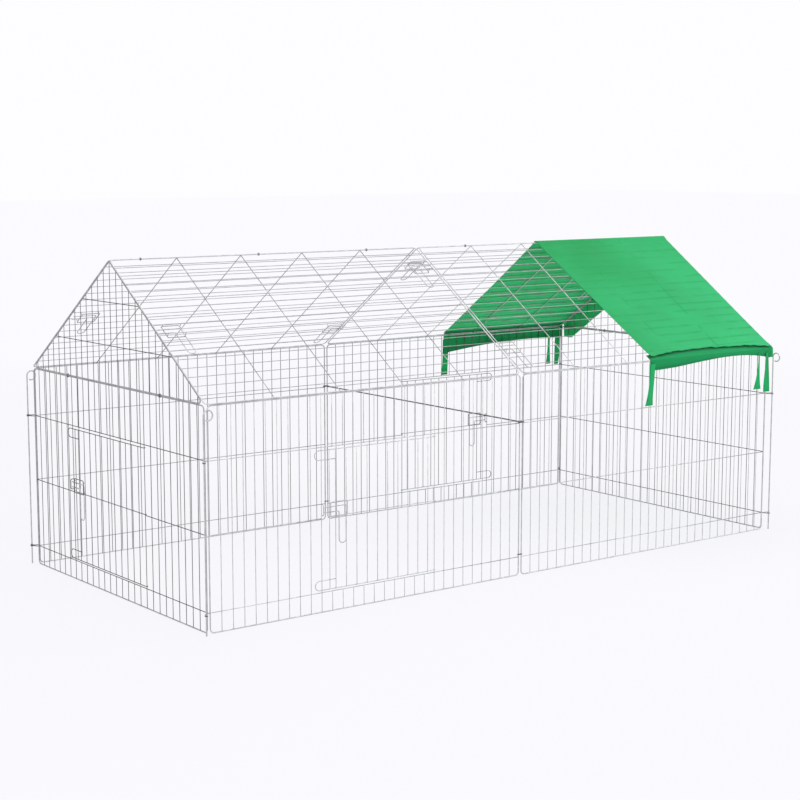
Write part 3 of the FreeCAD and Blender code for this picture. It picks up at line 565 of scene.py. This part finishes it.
def corner_rod():
    """A straight rod with a finger ring at its top."""
    wires = Wires()
    shank = ROD_TOP - ROD_R - ROD_RING
    path = straight((0, 0, 0), (0, 0, shank * SHANK_SHARE))
    path += arc(Vector((ROD_RING, 0, shank)), X, Z, ROD_RING, 180, ROD_TURN, ROD_STEPS)
    wires.run(path, ROD_R, sides=STOUT_SIDES)
    return wires


def tie_bar():
    """A bar across the run, with an eye at each end."""
    wires = Wires()
    reach = HALF_WIDTH - TIE_BEND
    wires.run(straight((0, -reach, 0), (0, reach, 0)), TIE_R, sides=STOUT_SIDES)
    for y in (-HALF_WIDTH, HALF_WIDTH):
        wires.run(oval(Vector((0, y, 0)), X, Y, JOINT_GAP, TIE_BEND), TIE_R, True)
    for y in (-reach, reach):
        wires.weld((0, y, 0), TIE_SPOT, Y)
    return wires


def rings(places, along, across, reach):
    """Closed rings round two wires."""
    wires = Wires()
    for place in places:
        wires.run(oval(Vector(place), along, across, reach, RING_BEND), RING_R, True)
    return wires


side_left = (CORNER_GAP, SIDE_WIDTH, SIDE_GAPS, [-1], 1)
side_right = (JOINT_GAP / 2, SIDE_WIDTH, SIDE_GAPS, [1], 1)
end_wall = (CORNER_GAP, END_WIDTH, END_GAPS, [-1, 1], -1)
for node, place, shape in (
    ("front_left_panel", FRONT_LEFT, (*side_left, SIDE_DOOR)),
    ("back_right_panel", BACK_RIGHT, (*side_left, SIDE_DOOR)),
    ("front_right_panel", FRONT_MIDDLE, side_right),
    ("back_left_panel", BACK_MIDDLE, side_right),
    ("left_end_panel", LEFT_END, (*end_wall, END_DOOR)),
    ("right_end_panel", RIGHT_END, end_wall),
):
    wall_panel(*shape).piece(f"{node}_wires", place, "run", node)

for node, place, width, gaps, sides in (
    ("front_door", FRONT_LEFT, SIDE_WIDTH, SIDE_GAPS, SIDE_DOOR),
    ("back_door", BACK_RIGHT, SIDE_WIDTH, SIDE_GAPS, SIDE_DOOR),
    ("left_door", LEFT_END, END_WIDTH, END_GAPS, END_DOOR),
):
    door(width, gaps, *sides).piece(f"{node}_wires", place, node, node)
    tip = CORNER_GAP + sides[0] * width / gaps + RAIL_R + TIP_GAP
    turn = Matrix(((-1, 0, 0, 0), (0, 0, 1, 0), (0, 1, 0, 0), (0, 0, 0, 1)))
    spot = Matrix.Translation((tip, -BOLT_OUT, BOLT_Z)) @ turn
    bolt().piece(f"{node}_bolt_wire", place @ spot, f"{node}_bolt", f"{node}_bolt")

for node, place, side, row in (
    ("front_right", FRONT_ROOF, 1, RIGHT_ROW),
    ("front_left", FRONT_ROOF, -1, LEFT_ROW),
    ("back_left", BACK_ROOF, 1, RIGHT_ROW),
    ("back_right", BACK_ROOF, -1, LEFT_ROW),
):
    roof_panel(side, row).piece(f"{node}_roof_wires", place, f"{node}_roof", f"{node}_roof")
    for name, tip, toward, line in roof_sites(side, row):
        spot = Matrix.Translation((tip, -(line + 0.5) * SLOPE_PITCH, -ROOF_BOLT_DROP))
        if toward < 0:
            spot = spot @ Matrix.Rotation(math.pi, 4, "Y")
        label = f"{node}_{name}_bolt"
        bolt().piece(f"{label}_wire", place @ spot, label, label)

for node, x, y, turn in (
    ("front_left_rod", -1, -1, 0),
    ("front_right_rod", 1, -1, -90),
    ("back_left_rod", -1, 1, 0),
    ("back_right_rod", 1, 1, 90),
):
    place = at(x * (HALF_LENGTH + ROD_OUT), y * (HALF_WIDTH + ROD_OUT), 0, turn)
    corner_rod().piece(f"{node}_wire", place, node, node)

tie_bar().piece("tie_bar_wire", at(0, 0, UPPER + RAIL_R + TIE_R + SEAT), "run", "tie_bar")
for node, y in (("front_joint_clip", -HALF_WIDTH), ("back_joint_clip", HALF_WIDTH)):
    rings([(0, 0, 0)], X, Y, JOINT_GAP).piece(f"{node}_wire", at(0, y, LOWER + CLIP_RISE), "run", node)
ridge = [(x, 0, RIDGE) for x in RIDGE_RINGS]
rings(ridge, Y, Z, 2 * RIDGE_HALF).piece("ridge_rings_wire", HERE, "run", "ridge_rings")
for node, place in (("left_gable", LEFT_END), ("right_gable", RIGHT_END)):
    lifted = place @ Matrix.Translation((0, 0, EAVE))
    gable().piece(f"{node}_wires", lifted, "run", node)
    spots = [(gap * 2 * HALF_WIDTH / END_GAPS, 0, -RAKE_DROP / 2) for gap in GABLE_RING_GAPS]
    rings(spots, Z, Y, RAKE_DROP).piece(f"{node}_rings_wire", lifted, "run", f"{node}_rings")


# Sunshade

SHADE_LEFT, SHADE_RIGHT = 515.0, 1117.0
SHADE_WIDTH = SHADE_RIGHT - SHADE_LEFT
CROSSES = [JOINT_GAP / 2 + n * CROSS_PITCH for n in range(1, CROSS_GAPS)]
SHEET_THICK, STRAP_THICK = 0.7, 1.0
LEFT_OVERHANG, LEFT_DRAW, LEFT_BULGE = 8.0, 18.0, 2.4
FLAP, FLAP_TOP, FLAP_LAP = 76.0, 14.0, 2.0
VALANCE_LEFT, VALANCE_RIGHT, VALANCE_LEAN = 10.0, 7.0, 0.6
VALANCE_LAP, VALANCE_BEND, VALANCE_TURN, VALANCE_TUCK = 9.0, FRAME_R + LOOSE, 3.0, 0.024
# The crest over the ridge rings
CREST = RING_BEND + RING_R + 0.6
CREST_REACH, CREST_SPREAD, CREST_RISE, CREST_FALL = 24.0, 0.72, 1.4, 0.012
# How high the gable, the rows of wire, slack and slanting folds lift the cloth, and over what lengths
CLOTH_SEAT = GRID_R + 0.5
END_LIFT, END_REACH = 0.8, 22.0
ROW_LIFT, ROW_REACH = 0.4, 5.0
SLACK_LIFT, SLACK_SCALE = 1.2, 140.0
FOLD_LIFT, FOLD_LENGTH, FOLD_ALONG, FOLD_DOWN = 1.6, 62.0, 0.8, 0.6
FOLD_DRIFT, DRIFT_SCALE = 1.8, 260.0
SEAM_LIFT, SEAM_REACH = 2.6, 16.0
# Painted shade over the wires beneath it, in dashes, and painted shade in its folds and towards the ridge
# and the left end
WIRE_REACH, CROSS_MARK, ROW_MARK = 2.4, 0.7, 0.6
DASH_SCALE, DASH_STRETCH, DASH_GAIN, DASH_LEAST = 90.0, 3.0, 1.6, 0.25
PAINTED_SHADE_LEAST, PAINTED_FOLD_SHADE = 0.42, 0.26
# The top sheet's sewn edge: its wander, its ripple and how it is tucked under
EDGE_ZONE, EDGE_WANDER, WANDER_SCALE = 60.0, 3.6, 34.0
RIPPLE, RIPPLE_SCALE, RIPPLE_FROM, RIPPLE_OVER = 1.4, 26.0, 0.9, 0.1
TUCK, TUCK_END = 22.0, 1.04
# How the valance sways and billows, how far in it may be pressed and how far out it stands
SWAY, SWAY_LENGTH, BILLOW, BILLOW_SCALE = 1.2, 34.0, 2.0, 70.0
PRESSED_IN, STAND_OUT = -0.4, 1.2
# How the flap turns over the gable, swings out and waves, and how uneven its foot is
FLAP_TURN, FLAP_TURN_SHARE, FLAP_SWING = 0.9, 0.05, 0.6
FLAP_WAVE, WAVE_SCALE, FLAP_UNEVEN, UNEVEN_SCALE = 3.4, 90.0, 1.5, 50.0
# How far the straps stand out at the top and lower down, kick out at the foot, twist and cup
STRAP_OUT, STRAP_SPREAD, STRAP_KICK, KICK_SHARE = 7.5, 1.2, 0.9, 0.12
STRAP_TWIST, TWIST_RATE, TWIST_OUT, STRAP_CUP, CUP_RATE = 0.25, 4.0, 0.4, 1.6, 2.4
# Dark lines on the hanging pieces: how dark, where and how wide; under the seam and along the folds they
# are painted shade
SEAM_SHADOW_RISE, SEAM_SHADOW_WIDTH = 2.5, 7.0
VALANCE_STITCH, VALANCE_HEM, VALANCE_DARK, VALANCE_FADE = (0.4, 0.78, 0.06), (0.3, 1.0, 0.08), 0.3, 0.6
FLAP_HEM, FLAP_FOLD_SHADE = (0.6, 0.9, 0.03), (0.5, 0.3, 0.12)
STRAP_FOLD_SHADE, STRAP_FOLD_AT, STRAP_FOLD_DEPTH = (0.7, -0.32, 0.12), 0.86, 0.07
STRAP_EDGE, STRAP_HEM = (0.35, 0.42, 0.06), (0.4, 0.95, 0.02)
# The noise behind the folds, and the sizes of a sheet's mesh
ROUGHNESS, FINER, OCTAVES = 0.8, 2.0, 3
CREST_STEP, ROW_STEP, COLUMN_STEP, FLAP_STEP, LINE_STEP = 4.0, 9.0, 5.5, 6.0, 3.0


def near(value, place, width):
    """A soft bump that is 1 at a place and fades over a width."""
    return math.exp(-(((value - place) / width) ** 2))


def streak(value, depth, place, width):
    """A dark line of some depth, with soft edges."""
    return depth * near(value, place, width)


def crease(x, s, scale, seed):
    """Smooth noise about nought, with features of about the scale."""
    return noise.fractal(Vector((x / scale, s / scale, seed)), ROUGHNESS, FINER, OCTAVES)


def bow(first, middle, last, share):
    """A smooth curve through three values at shares 0, a half and 1."""
    return (
        first * (1 - share) * (1 - 2 * share)
        + 4 * middle * share * (1 - share)
        + last * share * (2 * share - 1)
    )


def steps(low, high, pitch):
    """Even stations from low to high, no further apart than the pitch."""
    count = max(1, math.ceil((high - low) / pitch))
    return [low + (high - low) * n / count for n in range(count + 1)]


def steps_over(low, high, lines, pitch):
    """Stations at most a pitch apart, with three close ones over each line."""
    spots = {low, high}
    for line in lines:
        close = (line - LINE_STEP, line, line + LINE_STEP)
        spots.update(spot for spot in close if low + 1 < spot < high - 1)
    marks = sorted(spots)
    return [low] + [spot for a, b in zip(marks, marks[1:]) for spot in steps(a, b, pitch)[1:]]


def lengths(path):
    """How far along a path each of its points lies."""
    along = [0.0]
    for a, b in zip(path, path[1:]):
        along.append(along[-1] + (b - a).length)
    return along


def drape(x, s, seed):
    """How far the cloth lies off the roof's plane, and how dark its painted shade is there: from a fold, a
    wire beneath, and the way up towards the ridge and the left end.
    """
    over_end = near(x, HALF_LENGTH, END_REACH)
    off_row = ((s / SLOPE_PITCH + 0.5) % 1.0 - 0.5) * SLOPE_PITCH
    height = CLOTH_SEAT + END_LIFT * over_end + ROW_LIFT * near(off_row, 0.0, ROW_REACH)
    height += SLACK_LIFT * (0.5 + 0.5 * crease(x, s, SLACK_SCALE, seed)) * (1 - over_end)
    slant = (FOLD_ALONG * x - FOLD_DOWN * s) / FOLD_LENGTH
    slant += FOLD_DRIFT * crease(x, s, DRIFT_SCALE, seed + 2)
    fold = 0.5 + 0.5 * math.sin(slant)
    height += FOLD_LIFT * fold * (1 - over_end)
    # Painted shade: darker towards the ridge and the left end and on the slanting folds, with dashed dark
    # lines over the wires beneath.
    low_down = 0.5 * (x - SHADE_LEFT) / SHADE_WIDTH + 0.5 * s / SLOPE
    cross = max(near(x, place, WIRE_REACH) for place in CROSSES)
    line = max(CROSS_MARK * cross, ROW_MARK * near(off_row, 0.0, WIRE_REACH))
    dash = 0.5 + DASH_GAIN * crease(x, DASH_STRETCH * s, DASH_SCALE, seed + 4)
    line *= min(1.0, max(0.0, dash)) * (DASH_LEAST + (1 - DASH_LEAST) * low_down)
    tone = (PAINTED_SHADE_LEAST + PAINTED_FOLD_SHADE * fold) * (1 - low_down)
    return height, 1 - (1 - line) * (1 - tone)


def cloth_mesh(name, rows, columns, place, material, thickness, lit_underside=None, turned=False):
    """A sheet through the points that place gives, in millimetres, each with a mark of how dark it is."""
    spots = [place(row, column) for row in rows for column in columns]
    points = [point * MM for point, _ in spots]
    wide = len(columns)
    faces = []
    for j in range(len(rows) - 1):
        for i in range(wide - 1):
            a = j * wide + i
            face = (a, a + 1, a + wide + 1, a + wide)
            faces.append(face[::-1] if turned else face)
    data = bpy.data.meshes.new(name)
    data.from_pydata(points, [], faces)
    # The mark, mostly painted shade, is kept on each point for the material.
    layer = data.attributes.new("under", "FLOAT", "POINT")
    layer.data.foreach_set("value", [mark for _, mark in spots])
    threads = data.uv_layers.new(name="threads")
    across, down = lengths(points[:wide]), lengths(points[::wide])
    for loop in data.loops:
        j, i = divmod(loop.vertex_index, wide)
        threads.data[loop.index].uv = (across[i], down[j])
    data.materials.append(material)
    data.shade_smooth()
    thing = bpy.data.objects.new(name, data)
    bpy.context.scene.collection.objects.link(thing)
    skin = thing.modifiers.new("cloth", "SOLIDIFY")
    skin.thickness = thickness * MM
    skin.offset = 1.0
    # The lit underside is painted light through the cloth.
    if lit_underside:
        data.materials.append(lit_underside)
        skin.material_offset = 1
    return thing


class Half:
    """One half of the shade: where its slope lies, its seam above the eave and its hem below it."""

    def __init__(self, name, body, depth, seed, seams, hems, skew, lean):
        self.name, self.body, self.depth, self.seed = name, body, depth, seed
        self.seams, self.hems, self.skew = seams, hems, skew
        self.left_lean, self.right_lean = lean
        self.normal = Vector((0, depth * math.sin(ANGLE), math.cos(ANGLE)))
        self.fall = Vector((0, depth * math.cos(ANGLE), -math.sin(ANGLE)))
        self.head = Vector((0, depth * RIDGE_HALF, RIDGE))

    def on_slope(self, x, s, height):
        """A point some way down the slope and off it."""
        point = self.head + self.fall * s + self.normal * height
        point.x = x
        return point

    def seam(self, share):
        """How far up from the eave the top sheet ends, at a share of its width."""
        return bow(*self.seams, share)

    def hem(self, share):
        """How far the cloth hangs below the eave there."""
        return bow(*self.hems, share) + self.skew * share * (1 - share) * (0.5 - share)

    def left(self, u):
        """The left edge at a share of the way down the slope."""
        drawn = (LEFT_DRAW + self.left_lean) * u
        return SHADE_LEFT - LEFT_OVERHANG + drawn + LEFT_BULGE * math.sin(math.pi * u)

    def right(self, u):
        """The right edge there."""
        return SHADE_RIGHT + self.right_lean * u


def top_point(half, x, s, end):
    """A point of the top sheet, over the ridge rings in a soft crest and down to its wavy edge."""
    height, mark = drape(x, s, half.seed)
    height += SEAM_LIFT * near(s, end, SEAM_REACH)
    if s >= CREST_REACH:
        return half.on_slope(x, s, height), mark
    along = s / CREST_REACH
    low = half.on_slope(x, s, height * along + CREST * (1 - along) ** 2)
    top = RIDGE + CREST + CREST_RISE - s * s * CREST_FALL
    level = Vector((x, half.depth * s * CREST_SPREAD, top))
    return level.lerp(low, along * along * (3 - 2 * along)), mark


def top_sheet(half):
    """The sloping cloth from the ridge to its sewn edge near the eave."""
    wire_rows = [n * SLOPE_PITCH for n in range(1, SLOPE_GAPS)]
    plain = steps(0.0, CREST_REACH, CREST_STEP)[:-1]
    plain += steps_over(CREST_REACH, SLOPE - EDGE_ZONE, wire_rows, ROW_STEP)
    rows = [(s, 0.0) for s in plain]
    rows += [(SLOPE - EDGE_ZONE, v) for v in (*steps(0.0, 1.0, 0.125)[1:], TUCK_END)]
    columns = steps_over(SHADE_LEFT, SHADE_RIGHT, CROSSES, COLUMN_STEP)

    def place(row, column):
        base, v = row
        share = (column - SHADE_LEFT) / SHADE_WIDTH
        wander = EDGE_WANDER * crease(column, 3.0, WANDER_SCALE, half.seed + 3)
        end = SLOPE - half.seam(share) + wander
        s = base + (end - base) * v
        u = min(1.0, s / end)
        x = column + (half.left(u) - SHADE_LEFT) * (1 - share) ** 3
        x += (half.right(u) - SHADE_RIGHT) * share ** 3
        point, mark = top_point(half, x, s, end)
        if v > RIPPLE_FROM:
            ripple = RIPPLE * crease(x, 11.0, RIPPLE_SCALE, half.seed + 6)
            ripple *= v - RIPPLE_FROM
            point += half.normal * (ripple / RIPPLE_OVER - TUCK * max(0.0, v - 1.0))
        return point, mark

    name = f"shade_{half.name}_cloth"
    turned = half.depth < 0
    sheet = cloth_mesh(name, rows, columns, place, TOP_CLOTH, SHEET_THICK, LIT_UNDERSIDE_CLOTH, turned)
    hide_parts(f"shade_{half.name}")
    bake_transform(sheet)
    flat = (MM * SHADE_WIDTH, MM * (SLOPE - half.seam(0.5)))
    return sheet


def hang(thing, half, node):
    """Puts a hanging piece on its half's body, in place of a node."""
    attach(thing, half.body)
    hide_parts(node)


def valance(half):
    """The strip sewn under the top sheet, over the eave wire and down to an arched hem."""
    left = SHADE_LEFT + VALANCE_LEFT + VALANCE_LEAN * half.left_lean
    right = SHADE_RIGHT - VALANCE_RIGHT
    rows = [("slope", u) for u in steps(0.0, 1.0, 0.125)]
    rows += [("bend", u) for u in steps(0.25, 1.0, 0.25)]
    rows += [("hang", u) for u in steps(0.1, 1.0, 0.1)]

    def place(row, share):
        part, u = row
        x = left + (right - left) * share
        if part == "slope":
            back = (half.seam(share) + VALANCE_LAP) * (1 - u)
            spot = half.on_slope(x, SLOPE - back, VALANCE_BEND - VALANCE_TUCK * back)
            return spot, near(back, half.seam(share) - SEAM_SHADOW_RISE, SEAM_SHADOW_WIDTH)
        if part == "bend":
            angle = (math.pi / 2 - ANGLE) * (1 - u)
            y = half.depth * (HALF_WIDTH + VALANCE_BEND * math.cos(angle))
            return Vector((x, y, EAVE + VALANCE_BEND * math.sin(angle))), 0.0
        sway = SWAY * math.sin(x / SWAY_LENGTH + half.seed)
        fold = sway + BILLOW * crease(x, 60.0 * u, BILLOW_SCALE, half.seed + 9)
        out = VALANCE_BEND + (u * max(PRESSED_IN, fold) + STAND_OUT * u)
        dark = streak(u, *VALANCE_STITCH) + streak(u, *VALANCE_HEM)
        dark += VALANCE_DARK * u * (1 - VALANCE_FADE * share)
        return Vector((x, half.depth * (HALF_WIDTH + out), EAVE - u * half.hem(share))), dark

    name = f"shade_{half.name}_valance"
    thing = cloth_mesh(f"{name}_cloth", rows, steps(0.0, 1.0, 1 / 120), place, TRIM_CLOTH, SHEET_THICK)
    deep = VALANCE_LAP + half.seam(0.5) + half.hem(0.5) + VALANCE_TURN
    hang(thing, half, name)


def flap(half):
    """The end of the cloth that falls straight down outside the right gable."""
    end = SLOPE - half.seam(1.0)
    rows = (0.0, 0.02, 0.05, 0.1, *steps(0.18, 0.9, 0.09), 0.95, 1.0)
    columns = steps(FLAP_TOP, SLOPE + FLAP_LAP, FLAP_STEP)

    def place(v, s):
        spot, _ = top_point(half, half.right(min(1.0, s / end)), s, end)
        wave = 0.5 + 0.5 * crease(s, 9.0, WAVE_SCALE, half.seed + 12)
        spot.x += FLAP_TURN * min(1.0, v / FLAP_TURN_SHARE) + v * (FLAP_SWING + FLAP_WAVE * wave)
        uneven = FLAP_UNEVEN * crease(s, 2.0, UNEVEN_SCALE, half.seed + 8)
        spot.z -= v * min(FLAP + uneven, spot.z - EAVE + half.hem(1.0))
        # Painted shade along the waving folds, with a dark hem line.
        return spot, max(streak(v, *FLAP_HEM), streak(wave, *FLAP_FOLD_SHADE))

    name = f"shade_{half.name}_flap"
    turned = half.depth > 0
    thing = cloth_mesh(
        f"{name}_cloth", rows, columns, place, FLAP_CLOTH, SHEET_THICK, LIT_UNDERSIDE_CLOTH, turned
    )
    hang(thing, half, name)


def strap(half, n, x, lean, widths, top, low):
    """A tie strap at the hem, gathered at its top and folded over at its foot, with painted shade in that
    fold.
    """

    def place(v, share):
        across = share * bow(*widths, v)
        turn = STRAP_TWIST * math.sin(TWIST_RATE * v + half.seed + n)
        out = STRAP_OUT + STRAP_SPREAD * v + STRAP_KICK * near(v, 1.0, KICK_SHARE)
        cup = STRAP_CUP * math.cos(math.pi * share) * math.sin(CUP_RATE * v + half.seed + n)
        px = x + lean * v * v + across * math.cos(turn)
        py = HALF_WIDTH + out + across * math.sin(turn) * TWIST_OUT + cup
        # Painted shade in the fold at the foot.
        fold = streak(share, *STRAP_FOLD_SHADE) * near(v, STRAP_FOLD_AT, STRAP_FOLD_DEPTH)
        dark = max(fold, streak(abs(share), *STRAP_EDGE), streak(v, *STRAP_HEM))
        return Vector((px, half.depth * py, EAVE - top - v * (low - top))), dark

    rows, columns = steps(0.0, 1.0, 1 / 28), steps(-0.5, 0.5, 1 / 8)
    name = f"shade_{half.name}_strap_{n}"
    thing = cloth_mesh(name, rows, columns, place, FLAP_CLOTH, STRAP_THICK)
    mean = sum(bow(*widths, v) for v in (0.0, 0.25, 0.5, 0.75, 1.0)) / 5
    hang(thing, half, f"shade_{half.name}_straps")


FRONT_HALF = Half(
    "front", "front_right_roof", -1, 1.7,
    seams=(14.0, 31.0, 10.0), hems=(33.0, 16.0, 30.0), skew=135.0, lean=(28.0, 4.0),
)
BACK_HALF = Half(
    "back", "back_right_roof", 1, 5.2,
    seams=(2.0, 3.0, 2.0), hems=(70.0, 45.0, 46.0), skew=0.0, lean=(0.0, 0.0),
)
# Each strap: its place along the run, how far it leans, three widths, its top and its foot below the eave
FRONT_STRAPS = (
    (547.0, -15.0, (24.0, 22.0, 36.0), 12.0, 144.0),
    (1052.0, -10.0, (4.0, 12.0, 34.0), 12.0, 132.0),
    (1092.0, -3.0, (10.0, 22.0, 28.0), 12.0, 144.0),
)
BACK_STRAPS = (
    (539.0, -5.0, (26.0, 27.0, 30.0), 20.0, 150.0),
    (1046.0, -2.0, (10.0, 12.0, 21.0), 20.0, 146.0),
    (1091.0, -6.0, (34.0, 27.0, 18.0), 20.0, 150.0),
)
for half, straps in ((FRONT_HALF, FRONT_STRAPS), (BACK_HALF, BACK_STRAPS)):
    sheet = top_sheet(half)
    valance(half)
    flap(half)
    for n, shape in enumerate(straps):
        strap(half, n, *shape)


# Stage, light and camera, in metres

FLOOR_HALF, FLOOR_DROP = 40.0, 0.0005
# The camera as fitted to the photo: its focal length and the photo's width in pixels, its place and its aim
FOCAL, PHOTO_WIDTH, SENSOR = 1747.0, 800.0, 36.0
CAMERA_AT, HEADING, DIP = (-3.434, -4.439, 1.273), math.radians(37.18), math.radians(8.03)
# Each lamp: its place, its target, its width and its power
LAMPS = {
    "key": ((-3.5, -4.5, 5.0), (0.0, 0.0, 0.4), 4.0, 110.0),
    "fill": ((4.5, -3.0, 3.5), (0.2, 0.0, 0.4), 4.0, 85.0),
    "top": ((0.3, 1.0, 5.5), (0.0, 0.0, 0.3), 5.0, 80.0),
}


def seen(tree):
    """1 for rays from the camera or off a shiny or clear surface."""
    path = tree.nodes.new("ShaderNodeLightPath")
    total = path.outputs["Is Camera Ray"]
    for ray in ("Is Glossy Ray", "Is Transmission Ray"):
        total = combine(tree, "MAXIMUM", total, path.outputs[ray])
    return total


def floor():
    """A wide pale floor that the camera sees as nearly plain white, with a soft shadow left on it."""
    data = bpy.data.meshes.new("floor")
    corners = [(x * FLOOR_HALF, y * FLOOR_HALF, 0) for x, y in ((-1, -1), (1, -1), (1, 1), (-1, 1))]
    data.from_pydata(corners, [], [(0, 1, 2, 3)])
    material, tree, shader = new_material("pale_floor")
    where = tree.nodes.new("ShaderNodeTexCoord")
    tint = add(tree, "ShaderNodeTexNoise", Scale=0.6, Detail=2.0)
    tree.links.new(where.outputs["Object"], tint.inputs["Vector"])
    tone = ramp(tree, tint.outputs["Fac"], (0.3, (0.93, 0.93, 0.95)), (0.7, (0.95, 0.95, 0.965)))
    tree.links.new(tone.outputs["Color"], shader.inputs["Base Color"])
    shader.inputs["Roughness"].default_value = 0.9
    shader.inputs["Specular IOR Level"].default_value = 0.1
    far = tree.nodes.new("ShaderNodeVectorMath")
    far.operation = "LENGTH"
    tree.links.new(where.outputs["Object"], far.inputs[0])
    white = add(tree, "ShaderNodeMapRange", From_Min=1.5, From_Max=6.0, To_Min=0.8, To_Max=1.0)
    tree.links.new(far.outputs["Value"], white.inputs["Value"])
    share = combine(tree, "MULTIPLY", white.outputs["Result"], seen(tree))
    glow = add(tree, "ShaderNodeEmission", Color=(0.97, 0.965, 1.0, 1.0), Strength=1.0)
    mix = tree.nodes.new("ShaderNodeMixShader")
    tree.links.new(share, mix.inputs["Fac"])
    tree.links.new(shader.outputs["BSDF"], mix.inputs[1])
    tree.links.new(glow.outputs["Emission"], mix.inputs[2])
    tree.links.new(mix.outputs["Shader"], tree.nodes["Material Output"].inputs["Surface"])
    data.materials.append(material)
    thing = bpy.data.objects.new("floor", data)
    thing.location.z = -FLOOR_DROP
    bpy.context.scene.collection.objects.link(thing)


def sky():
    """A white surround that only the camera and mirror-like surfaces see at full strength."""
    world = bpy.data.worlds.new("studio")
    bpy.context.scene.world = world
    world.use_nodes = True
    tree = world.node_tree
    shader = tree.nodes["Background"]
    strength = add(tree, "ShaderNodeMapRange", To_Min=0.55, To_Max=1.0)
    tree.links.new(seen(tree), strength.inputs["Value"])
    tree.links.new(strength.outputs["Result"], shader.inputs["Strength"])
    shader.inputs["Color"].default_value = (0.985, 0.985, 1.0, 1.0)


def lamp(name, place, target, size, power):
    """A soft round light that faces its target."""
    data = bpy.data.lights.new(name, "AREA")
    data.shape = "DISK"
    data.size = size
    data.energy = power
    thing = bpy.data.objects.new(name, data)
    thing.location = place
    thing.rotation_euler = (Vector(target) - Vector(place)).to_track_quat("-Z", "Y").to_euler()
    bpy.context.scene.collection.objects.link(thing)


def camera():
    """A camera that sees the run as the photo does."""
    data = bpy.data.cameras.new("camera")
    data.sensor_width = SENSOR
    data.lens = FOCAL / PHOTO_WIDTH * SENSOR
    data.clip_end = 200.0
    thing = bpy.data.objects.new("camera", data)
    level = math.cos(DIP)
    ahead = Vector((math.sin(HEADING) * level, math.cos(HEADING) * level, -math.sin(DIP)))
    thing.location = CAMERA_AT
    thing.rotation_euler = ahead.to_track_quat("-Z", "Y").to_euler()
    bpy.context.scene.collection.objects.link(thing)
    bpy.context.scene.camera = thing


floor()
sky()
for name, setting in LAMPS.items():
    lamp(name, *setting)
camera()
bpy.context.scene.view_settings.view_transform = "Standard"
